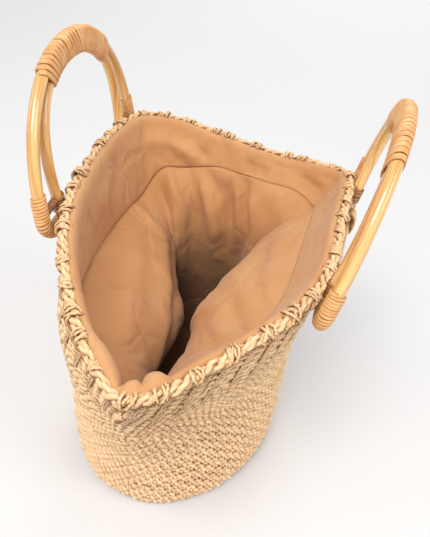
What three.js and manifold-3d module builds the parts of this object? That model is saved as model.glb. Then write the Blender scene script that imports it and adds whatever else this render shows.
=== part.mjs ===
// A straw basket bag with an opened, soft mouth, a sewn cloth lining and two rattan D handles.
// Millimetres, +Z up. The origin is the centre of the floor's underside; the near, pointed
// end of the mouth is towards -Y, and a handle stands outside each long side, at -X and +X.

import * as THREE from 'three';
import { mergeVertices } from 'three/addons/utils/BufferGeometryUtils.js';
import Module from 'manifold-3d';

const wasm = await Module();
wasm.setup();

// Driving dimensions of the basket.
const floorHalfWidth = 90.5;
const floorHalfLength = 111.5;
const floorTurn = -8.5;
const wallHeight = 258;
const wallThickness = 6;
const mouthHalfWidth = 101;
const mouthHalfLength = 148.5;
const mouthShiftAcross = 7;
const mouthShiftAlong = -33.5;
const braidRadius = 4.8;
const braidKnots = 42;
const knotWaist = 0.86;

// Driving dimensions of the cloth.
const clothThickness = 1.2;
const clothLooseness = 2.2;
const facingDepth = 70;
const facingPull = 14;
const seamGap = 1.2;
const liningFloorLift = 9;
const liningSplitAcross = 5;

// Driving dimensions of a rattan handle.
const hoopHalfWidth = 88;
const hoopHeight = 109;
const hoopCornerRadius = 13;
const hoopFlankPower = 0.94;
const hoopShoulderPower = 0.85;
const hoopRodRadius = 4.3;
const archRodRadius = 4;
const archFootSpread = 17;
const archSpreadPower = 1.3;
const barDrop = 23;
const gripStart = 47;
const gripEnd = 119;
const peelThickness = 1.5;
const bindingEnd = 14;
const bindingRun = 12;
const tieRadius = 3;
const tieRise = 15;

// Driving dimensions of the straw lashings that hold the handles.
const lashingRadius = 2.2;
const lashingHeight = 17;
const lashingSquarePower = 0.6;

// Clearance left between pieces that touch in the real bag.
const clearance = 0.35;

// Around-and-along resolution of the soft walls and of the rods.
const wallColumns = 48;
const rodSides = 8;
const rodSteps = 20;
const cornerSteps = 4;
const barStops = [-0.5, 0, 0.5];
const gripSides = 10;
const gripSteps = 9;
const ropeSides = 6;
const lashingSteps = 10;
const stepsPerKnot = 2;
const weldDistance = 1e-4;

// The handles: side, how far the bar stands out from the wall's widest place at its height, as
// a share of the rod's radius, where its middle lies from the mouth's middle, as a share of the
// mouth's half length, turn about Z and outward lean.
const handles = [
  { name: 'left', side: -1, standoff: -0.228, along: 0.33333, turn: -3.7, lean: 9 },
  { name: 'right', side: 1, standoff: 0.738, along: 0.21212, turn: 0, lean: 10.7 },
];

// The two ends of each handle along its bar.
const ends = [
  { name: 'near', end: -1 },
  { name: 'far', end: 1 },
];

// Where straw loops hold each bar to the wall, as shares of the bar's half width.
const lashingPlaces = [
  { name: 'near', along: -0.42 },
  { name: 'far', along: 0.42 },
];

// The rim's course: across and along are shares of the mouth's half width and half length
// from the mouth's middle, and rise is a share of the wall's height.
const rimCourse = [
  { across: 0.11, along: -0.99, rise: 0.915 },
  { across: 0.31, along: -0.91, rise: 0.923 },
  { across: 0.55, along: -0.71, rise: 0.944 },
  { across: 0.79, along: -0.49, rise: 0.967 },
  { across: 0.95, along: -0.27, rise: 0.988 },
  { across: 1.0, along: -0.03, rise: 0.998 },
  { across: 0.99, along: 0.3, rise: 1.0 },
  { across: 0.985, along: 0.62, rise: 0.99 },
  { across: 0.945, along: 0.8, rise: 0.977 },
  { across: 0.76, along: 0.88, rise: 0.967 },
  { across: 0.33, along: 0.92, rise: 0.957 },
  { across: -0.19, along: 0.985, rise: 0.963 },
  { across: -0.64, along: 0.995, rise: 0.984 },
  { across: -0.92, along: 0.87, rise: 1.0 },
  { across: -0.99, along: 0.63, rise: 1.0 },
  { across: -0.96, along: 0.28, rise: 1.0 },
  { across: -0.87, along: -0.06, rise: 0.996 },
  { across: -0.66, along: -0.41, rise: 0.977 },
  { across: -0.37, along: -0.71, rise: 0.952 },
  { across: -0.05, along: -0.93, rise: 0.926 },
];

// The wall's upright course: rise is a share of the height at that place, blend goes from the
// floor's outline to the rim's, and belly is an outward share of the floor's half width.
const wallCourse = [
  { rise: 0.0, blend: 0.0, belly: -0.1 },
  { rise: 0.02, blend: 0.0, belly: -0.03 },
  { rise: 0.07, blend: 0.01, belly: 0.0 },
  { rise: 0.2, blend: 0.05, belly: 0.01 },
  { rise: 0.38, blend: 0.17, belly: 0.01 },
  { rise: 0.58, blend: 0.38, belly: 0.01 },
  { rise: 0.77, blend: 0.64, belly: 0.01 },
  { rise: 0.9, blend: 0.86, belly: 0.0 },
  { rise: 1.0, blend: 1.0, belly: 0.0 },
];

// Soft dents and bulges pressed into the wall: turn is the direction from the mouth's middle
// and spread its width, in degrees; rise and height are shares of the wall's height, and reach
// is how far it stands outward, as a share of the floor's half width.
const wallDents = [
  { turn: 222, spread: 34, rise: 0.8, height: 0.22, reach: 0.1 },
  { turn: -20, spread: 34, rise: 0.5, height: 0.25, reach: -0.09 },
];

// The sewn facing round the mouth. turn is the direction from the mouth's middle in degrees;
// depth is a share of the facing's depth, pull how far the bag's weight draws its seam inward
// as a share of the facing's pull, and lip how far its edge stands over the braid's middle,
// as a share of the braid's radius.
const facingCourse = [
  { turn: 0, depth: 0.43, pull: 0.9, lip: 0.2 },
  { turn: 40, depth: 0.34, pull: 0.8, lip: 0.2 },
  { turn: 62, depth: 0.2, pull: 0.5, lip: 0.2 },
  { turn: 95, depth: 0.26, pull: 0.3, lip: 0.2 },
  { turn: 125, depth: 0.5, pull: 0.4, lip: 0.2 },
  { turn: 150, depth: 0.85, pull: 0.3, lip: 0.2 },
  { turn: 195, depth: 0.95, pull: 0.2, lip: 0.2 },
  { turn: 230, depth: 0.9, pull: 0.3, lip: 0.2 },
  { turn: 262, depth: 0.75, pull: 0.3, lip: 0.5 },
  { turn: 276, depth: 0.65, pull: 0.3, lip: 2.0 },
  { turn: 290, depth: 0.6, pull: 0.4, lip: 1.4 },
  { turn: 315, depth: 0.5, pull: 0.8, lip: 0.2 },
];

// The lining's folds, each hanging from the facing's seam: turn is the direction from the
// mouth's middle and spread its width, in degrees; bottom is where it ends, as a share of the
// wall's height, and reach how far it stands inward, as a share of the mouth's half width.
const liningFolds = [
  { turn: 202, spread: 56, bottom: 0.0, reach: 0.8 },
  { turn: -2, spread: 56, bottom: 0.0, reach: 0.65 },
  { turn: 46, spread: 10, bottom: 0.1, reach: 0.1 },
  { turn: 74, spread: 8, bottom: 0.1, reach: 0.1 },
  { turn: 98, spread: 8, bottom: 0.1, reach: 0.12 },
  { turn: 122, spread: 10, bottom: 0.1, reach: 0.12 },
];

// Heights of the lining bag's rings and of the facing's, as shares of the seam's rise and of
// the facing's depth.
const bagLevels = [1, 0.9, 0.78, 0.64, 0.44, 0.2, 0.06];
const facingLevels = [0, 0.4, 1];

const straw = new THREE.MeshStandardMaterial({ color: 0xd9b384, roughness: 0.85 });
const strawBraid = new THREE.MeshStandardMaterial({ color: 0xe3c295, roughness: 0.82 });
const cloth = new THREE.MeshStandardMaterial({ color: 0xcb9a68, roughness: 0.95 });
const rattan = new THREE.MeshStandardMaterial({ color: 0xe5b667, roughness: 0.35 });
const rattanPeel = new THREE.MeshStandardMaterial({ color: 0xdaab72, roughness: 0.5 });

const degrees = THREE.MathUtils.degToRad;
const up = new THREE.Vector3(0, 0, 1);

// Joins rings of equal count into a closed surface: a loop of rings, or a run with fan ends.
function skin(rings, isLoop) {
  const count = rings[0].length;
  const points = rings.flat();
  const faces = [];
  const last = isLoop ? rings.length : rings.length - 1;
  for (let r = 0; r < last; r++) {
    const here = r * count;
    const next = ((r + 1) % rings.length) * count;
    for (let i = 0; i < count; i++) {
      const j = (i + 1) % count;
      faces.push(here + i, here + j, next + j);
      faces.push(here + i, next + j, next + i);
    }
  }
  if (!isLoop) {
    points.push(middleOf(rings[0]), middleOf(rings[rings.length - 1]));
    const first = points.length - 2;
    const end = points.length - 1;
    const top = (rings.length - 1) * count;
    for (let i = 0; i < count; i++) {
      const j = (i + 1) % count;
      faces.push(first, j, i);
      faces.push(end, top + i, top + j);
    }
  }
  const geometry = new THREE.BufferGeometry();
  geometry.setFromPoints(points);
  geometry.setIndex(faces);
  return geometry;
}

// A band of cloth along rings, given its thickness on the inward side and hemmed at both edges.
function clothShell(rings, thickness) {
  const count = rings[0].length;
  const face = rings.flat();
  const back = face.map((point, k) => {
    const r = Math.floor(k / count);
    const i = k % count;
    const above = rings[Math.max(r - 1, 0)][i];
    const below = rings[Math.min(r + 1, rings.length - 1)][i];
    const along = rings[r][(i + 1) % count].clone().sub(rings[r][(i + count - 1) % count]);
    const inward = new THREE.Vector3().crossVectors(below.clone().sub(above), along).normalize();
    return point.clone().addScaledVector(inward, thickness);
  });
  const shift = face.length;
  const faces = [];
  const both = (a, b, c) => faces.push(a, b, c, shift + a, shift + c, shift + b);
  for (let r = 0; r + 1 < rings.length; r++) {
    for (let i = 0; i < count; i++) {
      const j = (i + 1) % count;
      both(r * count + i, (r + 1) * count + i, (r + 1) * count + j);
      both(r * count + i, (r + 1) * count + j, r * count + j);
    }
  }
  const foot = (rings.length - 1) * count;
  for (let i = 0; i < count; i++) {
    const j = (i + 1) % count;
    faces.push(i, j, shift + j, i, shift + j, shift + i);
    faces.push(foot + i, shift + foot + j, foot + j, foot + i, shift + foot + i, shift + foot + j);
  }
  const geometry = new THREE.BufferGeometry();
  geometry.setFromPoints([...face, ...back]);
  geometry.setIndex(faces);
  return geometry;
}

function middleOf(ring) {
  const middle = new THREE.Vector3();
  ring.forEach((point) => middle.add(point));
  return middle.divideScalar(ring.length);
}

// Sweeps a section along points. flat is the direction that the section's second axis keeps
// to; section gives the offsets [inward, flatward] at each step, anticlockwise.
function sweep(points, isLoop, flat, section) {
  const rings = points.map((point, i) => {
    const before = points[isLoop ? (i + points.length - 1) % points.length : Math.max(i - 1, 0)];
    const after = points[isLoop ? (i + 1) % points.length : Math.min(i + 1, points.length - 1)];
    const along = after.clone().sub(before).normalize();
    const aside = new THREE.Vector3().crossVectors(flat, along).normalize();
    const lift = new THREE.Vector3().crossVectors(along, aside);
    return section(i).map(([a, b]) => point.clone().addScaledVector(aside, a).addScaledVector(lift, b));
  });
  return skin(rings, isLoop);
}

function roundSection(radius, sides = rodSides) {
  const offsets = [];
  for (let i = 0; i < sides; i++) {
    const angle = (2 * Math.PI * i) / sides;
    offsets.push([radius * Math.cos(angle), radius * Math.sin(angle)]);
  }
  return offsets;
}

function solidOf(geometry) {
  const bare = geometry.clone();
  bare.deleteAttribute('normal');
  bare.deleteAttribute('uv');
  const merged = mergeVertices(bare, weldDistance);
  const solid = new wasm.Manifold(new wasm.Mesh({
    numProp: 3,
    vertProperties: new Float32Array(merged.attributes.position.array),
    triVerts: new Uint32Array(merged.index.array),
  }));
  return solid.volume() < 0 ? solidOf(flipped(merged)) : solid;
}

function flipped(geometry) {
  const turned = geometry.clone();
  turned.setIndex(Array.from(geometry.index.array).reverse());
  return turned;
}

function geometryOf(solid) {
  const mesh = solid.getMesh();
  const geometry = new THREE.BufferGeometry();
  geometry.setAttribute('position', new THREE.BufferAttribute(mesh.vertProperties, 3));
  geometry.setIndex(new THREE.BufferAttribute(mesh.triVerts, 1));
  return geometry;
}

function piece(name, geometry, material) {
  geometry.computeVertexNormals();
  const mesh = new THREE.Mesh(geometry, material);
  mesh.name = name;
  return mesh;
}

// The closed curve of the rim, sampled evenly, as points at the top of the braid's middle.
function rimPoints(count) {
  const course = rimCourse.map((row) => new THREE.Vector3(
    mouthShiftAcross + row.across * mouthHalfWidth,
    mouthShiftAlong + row.along * mouthHalfLength,
    row.rise * wallHeight,
  ));
  const curve = new THREE.CatmullRomCurve3(course, true, 'centripetal');
  return curve.getSpacedPoints(count).slice(0, count);
}

// The direction of a rim point from the mouth's middle, which also places it on the floor.
function turnOf(point) {
  const across = (point.x - mouthShiftAcross) / mouthHalfWidth;
  const along = (point.y - mouthShiftAlong) / mouthHalfLength;
  return Math.atan2(along, across);
}

function floorPoint(turn) {
  const point = new THREE.Vector3(floorHalfWidth * Math.cos(turn), floorHalfLength * Math.sin(turn), 0);
  return point.applyAxisAngle(up, degrees(floorTurn));
}

function outwardOf(points, i) {
  const before = points[(i + points.length - 1) % points.length];
  const after = points[(i + 1) % points.length];
  return new THREE.Vector3(after.y - before.y, before.x - after.x, 0).normalize();
}

// A value of the wall's upright course at a rise, read with a smooth curve between rows.
function courseAt(key, rise) {
  const last = wallCourse.length - 1;
  let i = 0;
  while (i < last - 1 && wallCourse[i + 1].rise < rise) i += 1;
  const rows = [i - 1, i, i + 1, i + 2].map((k) => wallCourse[Math.min(Math.max(k, 0), last)]);
  const span = rows[2].rise - rows[1].rise;
  const t = Math.min(Math.max((rise - rows[1].rise) / span, 0), 1);
  const slope = (a, b) => (b.rise > a.rise ? (b[key] - a[key]) / (b.rise - a.rise) : 0) * span;
  const start = slope(rows[0], rows[2]);
  const end = slope(rows[1], rows[3]);
  const square = t * t;
  const cube = square * t;
  return (2 * cube - 3 * square + 1) * rows[1][key] + (cube - 2 * square + t) * start
    + (3 * square - 2 * cube) * rows[2][key] + (cube - square) * end;
}

// How far a turn lies from another, in degrees, either way round.
function turnGap(turn, other) {
  const away = turn - degrees(other);
  return THREE.MathUtils.radToDeg(Math.atan2(Math.sin(away), Math.cos(away)));
}

function dentReach(turn, rise) {
  let reach = 0;
  for (const dent of wallDents) {
    const around = turnGap(turn, dent.turn) / dent.spread;
    const upright = (rise - dent.rise) / dent.height;
    reach += dent.reach * floorHalfWidth * Math.exp(-(around ** 2) - upright ** 2);
  }
  return reach * Math.sin(Math.PI * Math.min(Math.max(rise, 0), 1)) ** 0.5;
}

// One ring round the wall: rise is a share of its height and inset a depth from its outer
// face. Both are functions of the turn. No point of the ring lies lower than lowest.
const rim = rimPoints(wallColumns);
const wallTopDrop = 2 * braidRadius + clearance;

function wallRing(rise, inset, lowest) {
  return rim.map((point, i) => {
    const turn = turnOf(point);
    const share = rise(turn);
    const level = floorPoint(turn).lerp(point, courseAt('blend', share));
    const belly = courseAt('belly', share) * floorHalfWidth + dentReach(turn, share);
    level.addScaledVector(outwardOf(rim, i), belly - inset(turn, share));
    level.z = Math.max(share * (point.z - wallTopDrop), lowest);
    return level;
  });
}

function basketBody() {
  const outer = wallCourse.map((row) => wallRing(() => row.rise, () => 0, 0));
  const floorRise = wallThickness / wallHeight;
  const innerRises = wallCourse.map((row) => row.rise).filter((rise) => rise > 2 * floorRise);
  const inner = [floorRise, ...innerRises].reverse().map((rise) => (
    wallRing(() => rise, () => wallThickness, wallThickness)
  ));
  return skin([...outer, ...inner], false);
}

// The looped straw border: a rope laid along the wall's top with a knot at each upright straw.
function rimBraid() {
  const points = rimPoints(braidKnots * stepsPerKnot);
  points.forEach((point) => {
    point.z -= braidRadius;
  });
  const swell = (i) => (i % stepsPerKnot === 0 ? 1 : knotWaist);
  return sweep(points, true, up, (i) => roundSection(braidRadius * swell(i), ropeSides));
}

// A value of the facing's course at a turn, eased from row to row.
function facingAt(key, turn) {
  const angle = (THREE.MathUtils.radToDeg(turn) + 720) % 360;
  const count = facingCourse.length;
  let i = count - 1;
  while (i > 0 && facingCourse[i].turn > angle) i -= 1;
  const here = facingCourse[i];
  const next = facingCourse[(i + 1) % count];
  const span = (next.turn - here.turn + 360) % 360;
  const ease = THREE.MathUtils.smoothstep((angle - here.turn) / span, 0, 1);
  return THREE.MathUtils.lerp(here[key], next[key], ease);
}

// Where the facing's lower seam runs, as a share of the wall's height, and its inward pull.
function seamRise(turn) {
  return 1 - (facingDepth * facingAt('depth', turn)) / wallHeight;
}

function seamPull(turn) {
  return facingPull * facingAt('pull', turn);
}

// How far the lining stands inward of the wall at a turn and a rise.
function foldDepth(turn, rise) {
  let depth = 0;
  for (const fold of liningFolds) {
    const across = Math.exp(-((turnGap(turn, fold.turn) / fold.spread) ** 2));
    const share = Math.min(Math.max((rise - fold.bottom) / (seamRise(turn) - fold.bottom), 0), 1);
    depth += fold.reach * mouthHalfWidth * across * Math.sin(Math.PI * share ** 2);
  }
  return depth;
}

// The sewn facing band that hangs inside the wall from the rim.
function liningFacing() {
  const inset = (share) => (turn) => wallThickness + clothLooseness + share * seamPull(turn);
  const rings = facingLevels.map((share) => (
    wallRing((turn) => 1 - share * (1 - seamRise(turn)), inset(share), 0)
  ));
  const edge = rings[0].map((point, i) => {
    const lip = braidRadius * (1 + facingAt('lip', turnOf(rim[i])));
    return point.clone().setZ(point.z + clearance + lip);
  });
  return clothShell([edge, ...rings], clothThickness);
}

// The rings of the lining bag below the facing's seam, hanging in from the walls in large folds.
function liningRings() {
  const seamDrop = seamGap / wallHeight;
  const inset = (turn, share) => (
    wallThickness + clothLooseness + seamPull(turn) * share ** 2 + foldDepth(turn, share)
  );
  return bagLevels.map((level) => (
    wallRing((turn) => level * (seamRise(turn) - seamDrop), inset, liningFloorLift)
  ));
}

// The lining's oval floor panel, just inside the foot of the bag's walls.
function liningFloor(foot) {
  const middle = middleOf(foot);
  const edge = foot.map((point) => {
    const inward = middle.clone().sub(point);
    return point.clone().addScaledVector(inward, clothThickness / inward.length());
  });
  const raised = edge.map((point) => point.clone().setZ(point.z + clothThickness));
  return skin([edge, raised], false);
}

// The middle of a handle's bar, beside the wall's widest place at its height.
function barMiddle(handle) {
  const height = wallHeight - barDrop;
  const ring = wallRing(() => height / (wallHeight - wallTopDrop), () => 0, 0);
  const widest = Math.max(...ring.map((point) => handle.side * point.x));
  const across = handle.side * (widest + handle.standoff * hoopRodRadius);
  return new THREE.Vector3(across, mouthShiftAlong + handle.along * mouthHalfLength, height);
}

// A point in a handle's own plane: run along the bar, rise in the leaning plane, out of it.
function inHandle(handle, run, rise, out = 0) {
  const turn = degrees(handle.turn);
  const lean = degrees(handle.lean);
  const along = new THREE.Vector3(Math.sin(turn), Math.cos(turn), 0);
  const outward = new THREE.Vector3(Math.cos(turn), -Math.sin(turn), 0).multiplyScalar(handle.side);
  const upward = up.clone().multiplyScalar(Math.cos(lean)).addScaledVector(outward, Math.sin(lean));
  const face = outward.clone().multiplyScalar(Math.cos(lean)).addScaledVector(up, -Math.sin(lean));
  return barMiddle(handle)
    .addScaledVector(along, run).addScaledVector(upward, rise).addScaledVector(face, out);
}

function faceOf(handle) {
  return inHandle(handle, 0, 0, 1).sub(inHandle(handle, 0, 0, 0)).normalize();
}

// The hoop's bow over its bar, from the far foot (0 degrees) to the near foot (180).
function bowPoint(angle) {
  const cosine = Math.cos(degrees(angle));
  const sine = Math.max(Math.sin(degrees(angle)), 0);
  const run = hoopHalfWidth * Math.sign(cosine) * Math.abs(cosine) ** hoopFlankPower;
  return new THREE.Vector2(run, hoopHeight * sine ** hoopShoulderPower);
}

// The bow's angle where the lower corner's arc takes over.
const bowFootSine = (hoopCornerRadius / hoopHeight) ** (1 / hoopShoulderPower);
const bowStart = THREE.MathUtils.radToDeg(Math.asin(bowFootSine));
const cornerRun = bowPoint(bowStart).x - hoopCornerRadius;

function bowAngle(share) {
  return bowStart + (180 - 2 * bowStart) * share;
}

// The whole D: bow, near corner, bar and far corner, as [run, rise] points.
function hoopOutline() {
  const outline = [];
  for (let i = 0; i <= rodSteps; i++) outline.push(bowPoint(bowAngle(i / rodSteps)));
  for (let i = 1; i <= cornerSteps; i++) {
    outline.push(cornerPoint(-cornerRun, 180 + (90 * i) / cornerSteps));
  }
  for (const share of barStops) outline.push(new THREE.Vector2(cornerRun * share, 0));
  for (let i = 0; i < cornerSteps; i++) {
    outline.push(cornerPoint(cornerRun, 270 + (90 * i) / cornerSteps));
  }
  return outline;
}

function cornerPoint(run, angle) {
  const a = degrees(angle);
  return new THREE.Vector2(run + hoopCornerRadius * Math.cos(a), hoopCornerRadius * (1 + Math.sin(a)));
}

// The inner arch lies under the bow along the grip and spreads from it towards its two feet.
function archOutline() {
  const stack = hoopRodRadius + archRodRadius + clearance;
  const outline = [];
  for (let i = 0; i <= rodSteps; i++) {
    const angle = bowAngle(i / rodSteps);
    const farSide = Math.max(gripStart - angle, 0) / (gripStart - bowStart);
    const nearSide = Math.max(angle - gripEnd, 0) / (180 - bowStart - gripEnd);
    const offset = stack + archFootSpread * Math.max(farSide, nearSide) ** archSpreadPower;
    outline.push(underBow(angle, offset));
  }
  const footRise = hoopRodRadius + peelThickness + 2 * clearance;
  const far = outline[0].clone().setY(footRise);
  const near = outline[outline.length - 1].clone().setY(footRise);
  return [far, ...outline, near];
}

// A point under the bow, offset square to it.
function underBow(angle, offset) {
  const ahead = bowPoint(angle + 1).sub(bowPoint(angle - 1)).normalize();
  return bowPoint(angle).add(new THREE.Vector2(-ahead.y, ahead.x).multiplyScalar(offset));
}

function placed(handle, outline) {
  return outline.map((point) => inHandle(handle, point.x, point.y));
}

function hoopSolid(handle, grow) {
  const section = roundSection(hoopRodRadius + grow);
  return solidOf(sweep(placed(handle, hoopOutline()), true, faceOf(handle), () => section));
}

function archSolid(handle, grow) {
  const section = roundSection(archRodRadius + grow);
  return solidOf(sweep(placed(handle, archOutline()), false, faceOf(handle), () => section));
}

// The peel wound round hoop and arch together: an oval sleeve along the top of the bow.
function gripSolid(handle) {
  const depth = hoopRodRadius + archRodRadius + clearance / 2 + peelThickness;
  const half = hoopRodRadius + peelThickness;
  const path = [];
  for (let i = 0; i <= gripSteps; i++) {
    const angle = THREE.MathUtils.lerp(gripStart, gripEnd, i / gripSteps);
    path.push(underBow(angle, archRodRadius + clearance / 2));
  }
  const section = [];
  for (let i = 0; i < gripSides; i++) {
    const angle = (2 * Math.PI * (i + 0.5)) / gripSides;
    const straight = (depth - half) * Math.sign(Math.cos(angle));
    section.push([straight + half * Math.cos(angle), half * Math.sin(angle)]);
  }
  return solidOf(sweep(placed(handle, path), false, faceOf(handle), () => section));
}

// The coil of peel round a lower corner of the hoop, a short way along the bar and up the bow.
function bindingSolid(handle, end, grow) {
  const path = [new THREE.Vector2(cornerRun - bindingRun, 0), new THREE.Vector2(cornerRun, 0)];
  for (let i = 1; i <= cornerSteps; i++) {
    path.push(cornerPoint(cornerRun, 270 + (90 * i) / cornerSteps));
  }
  path.push(bowPoint(THREE.MathUtils.lerp(bowStart, bindingEnd, 0.5)), bowPoint(bindingEnd));
  path.forEach((point) => point.setX(end * point.x));
  const section = roundSection(hoopRodRadius + peelThickness + grow);
  return solidOf(sweep(placed(handle, path), false, faceOf(handle), () => section));
}

// The bound brace at an arch's foot: a collar round the foot and a short arm to the hoop.
function tieSolid(handle, end, grow) {
  const foot = archOutline()[0];
  const low = hoopRodRadius + peelThickness + 2 * clearance;
  const collarPath = [low, low + tieRise].map((rise) => new THREE.Vector2(end * foot.x, rise));
  const armPath = [
    new THREE.Vector2(end * (foot.x + archRodRadius), low + tieRise - tieRadius),
    new THREE.Vector2(end * (hoopHalfWidth - hoopRodRadius), hoopCornerRadius + tieRadius),
  ];
  const collarSection = roundSection(archRodRadius + peelThickness + grow);
  const armSection = roundSection(tieRadius + grow, ropeSides);
  const face = faceOf(handle);
  const collar = solidOf(sweep(placed(handle, collarPath), false, face, () => collarSection));
  const arm = solidOf(sweep(placed(handle, armPath), false, face, () => armSection));
  return collar.add(arm);
}

// A straw loop round the bar that passes in and out through the wall above the bar.
function lashing(handle, place, grow) {
  const middle = inHandle(handle, place.along * hoopHalfWidth, 0);
  const towards = new THREE.Vector3(-handle.side, 0, 0);
  const outerRun = hoopRodRadius + clearance + lashingRadius;
  const innerRun = hoopRodRadius + clearance + wallThickness / 2;
  const halfReach = (outerRun + innerRun) / 2;
  const halfHeight = lashingHeight / 2;
  const centre = middle.clone().addScaledVector(towards, innerRun - halfReach);
  centre.z += halfHeight - outerRun;
  const points = [];
  for (let i = 0; i < lashingSteps; i++) {
    const angle = (2 * Math.PI * i) / lashingSteps;
    const a = halfReach * squared(Math.cos(angle));
    const b = halfHeight * squared(Math.sin(angle));
    points.push(centre.clone().addScaledVector(towards, a).addScaledVector(up, b));
  }
  const along = new THREE.Vector3(0, 1, 0);
  return solidOf(sweep(points, true, along, () => roundSection(lashingRadius + grow, ropeSides)));
}

function squared(value) {
  return Math.sign(value) * Math.abs(value) ** lashingSquarePower;
}

function joined(solids) {
  return solids.reduce((sum, solid) => sum.add(solid));
}

const bag = new THREE.Group();
const cutters = [];

for (const handle of handles) {
  const hoop = hoopSolid(handle, 0);
  const grownHoop = hoopSolid(handle, clearance);
  const bindings = ends.map(({ end }) => bindingSolid(handle, end, clearance));
  const grownFrame = joined([grownHoop, ...bindings]);
  const arch = archSolid(handle, 0);
  const grownArch = archSolid(handle, clearance);
  const grownRods = grownHoop.add(grownArch);
  const grip = gripSolid(handle).subtract(grownRods);
  bag.add(piece(`${handle.name}_hoop`, geometryOf(hoop), rattan));
  bag.add(piece(`${handle.name}_arch`, geometryOf(arch), rattan));
  bag.add(piece(`${handle.name}_grip_wrap`, geometryOf(grip), rattanPeel));
  cutters.push(grownFrame, grownArch);
  for (const { name, end } of ends) {
    const binding = bindingSolid(handle, end, 0).subtract(grownHoop);
    const tie = tieSolid(handle, end, 0).subtract(grownFrame).subtract(grownArch);
    bag.add(piece(`${handle.name}_${name}_binding`, geometryOf(binding), rattanPeel));
    bag.add(piece(`${handle.name}_${name}_tie`, geometryOf(tie), rattanPeel));
    cutters.push(tieSolid(handle, end, clearance));
  }
  for (const place of lashingPlaces) {
    const loop = lashing(handle, place, 0);
    bag.add(piece(`${handle.name}_${place.name}_lashing`, geometryOf(loop), strawBraid));
    cutters.push(lashing(handle, place, clearance));
  }
}

// The lining bag is sewn from a left and a right half that meet along its middle, and a floor.
const liningCourse = liningRings();
const lining = solidOf(clothShell(liningCourse, clothThickness));
const halves = [-1, 1].map((side) => (
  lining.trimByPlane([side, 0, 0], side * liningSplitAcross + clearance / 2)
));
const cutter = joined(cutters);
const walls = [
  { name: 'basket_body', geometry: basketBody(), material: straw },
  { name: 'rim_braid', geometry: rimBraid(), material: strawBraid },
  { name: 'lining_facing', geometry: liningFacing(), material: cloth },
];
for (const wall of walls) {
  bag.add(piece(wall.name, geometryOf(solidOf(wall.geometry).subtract(cutter)), wall.material));
}
bag.add(piece('lining_bag_left', geometryOf(halves[0]), cloth));
bag.add(piece('lining_bag_right', geometryOf(halves[1]), cloth));
const liningFoot = liningCourse[liningCourse.length - 1];
bag.add(piece('lining_floor', geometryOf(solidOf(liningFloor(liningFoot))), cloth));

export default bag;
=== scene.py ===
"""A straw basket bag with a cloth lining and two rattan handles, on a pale studio floor.

Metres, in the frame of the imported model. Sizes in the sections are in millimetres and are
brought to metres where a mesh or a curve is made.
"""

import math

import bpy
import numpy as np
from mathutils import Matrix, Vector, noise


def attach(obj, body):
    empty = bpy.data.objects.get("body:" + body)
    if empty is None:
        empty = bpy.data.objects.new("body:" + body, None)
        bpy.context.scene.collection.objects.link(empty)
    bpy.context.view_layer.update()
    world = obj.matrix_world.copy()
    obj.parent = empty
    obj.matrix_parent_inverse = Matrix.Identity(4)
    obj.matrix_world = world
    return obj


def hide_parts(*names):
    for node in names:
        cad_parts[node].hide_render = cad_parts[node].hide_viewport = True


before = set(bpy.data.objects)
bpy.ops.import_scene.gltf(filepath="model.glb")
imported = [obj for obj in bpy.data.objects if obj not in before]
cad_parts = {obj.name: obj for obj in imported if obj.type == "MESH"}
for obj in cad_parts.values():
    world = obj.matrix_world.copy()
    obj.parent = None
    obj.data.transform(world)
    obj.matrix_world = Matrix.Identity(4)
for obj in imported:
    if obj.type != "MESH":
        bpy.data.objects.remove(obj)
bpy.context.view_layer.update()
MM = 0.001

# ---------------------------------------------------------------------------
# The studio: a pale matt floor in a white room, with a broad key lamp in front, weaker ones at
# both sides and one that lights the floor behind. The camera looks down into the bag's mouth.
# ---------------------------------------------------------------------------
CAMERA_PLACE = (0.1050, -0.3723, 0.4978)
CAMERA_AZIMUTH = math.radians(12.84)
CAMERA_ELEVATION = math.radians(39.15)
CAMERA_ROLL = math.radians(6.5)
CAMERA_LENS = 41.087
FLOOR_HALF = 6.0


def linear(hex_colour):
    """An sRGB hex colour as linear red, green, blue and full alpha."""
    channels = [int(hex_colour[i:i + 2], 16) / 255 for i in (0, 2, 4)]
    return tuple(c / 12.92 if c <= 0.04045 else ((c + 0.055) / 1.055) ** 2.4 for c in channels) + (1.0,)


def add_node(tree, kind, links=(), **settings):
    """Adds a node; settings name its properties, a ramp's stops or, as in_NAME, its input
    sockets; links are (input, node, output) rows."""
    node = tree.nodes.new(kind)
    for name, value in settings.items():
        if name.startswith("in_"):
            key = name[3:]
            socket = node.inputs[int(key)] if key.isdigit() else node.inputs[key.replace("_", " ")]
            socket.default_value = value
        elif name == "stops":
            elements = node.color_ramp.elements
            for element, (position, colour) in zip(elements, (value[0], value[-1])):
                element.position = position
                element.color = linear(colour)
            for position, colour in value[1:-1]:
                elements.new(position).color = linear(colour)
        else:
            setattr(node, name, value)
    for target, source, output in links:
        tree.links.new(source.outputs[output], node.inputs[target])
    return node


def new_material(name, **values):
    """A node material, its tree and its Principled shader, with values on the shader's sockets."""
    material = bpy.data.materials.new(name)
    material.use_nodes = True
    shader = material.node_tree.nodes["Principled BSDF"]
    for socket, value in values.items():
        shader.inputs[socket.replace("_", " ")].default_value = value
    return material, material.node_tree, shader


def solid_object(name, points, faces):
    """A smooth mesh object at the origin from points in millimetres."""
    mesh = bpy.data.meshes.new(name)
    mesh.from_pydata([tuple(p) for p in np.asarray(points) * MM], [], [tuple(f) for f in faces])
    mesh.validate()
    mesh.shade_smooth()
    thing = bpy.data.objects.new(name, mesh)
    bpy.context.scene.collection.objects.link(thing)
    return thing


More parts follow.
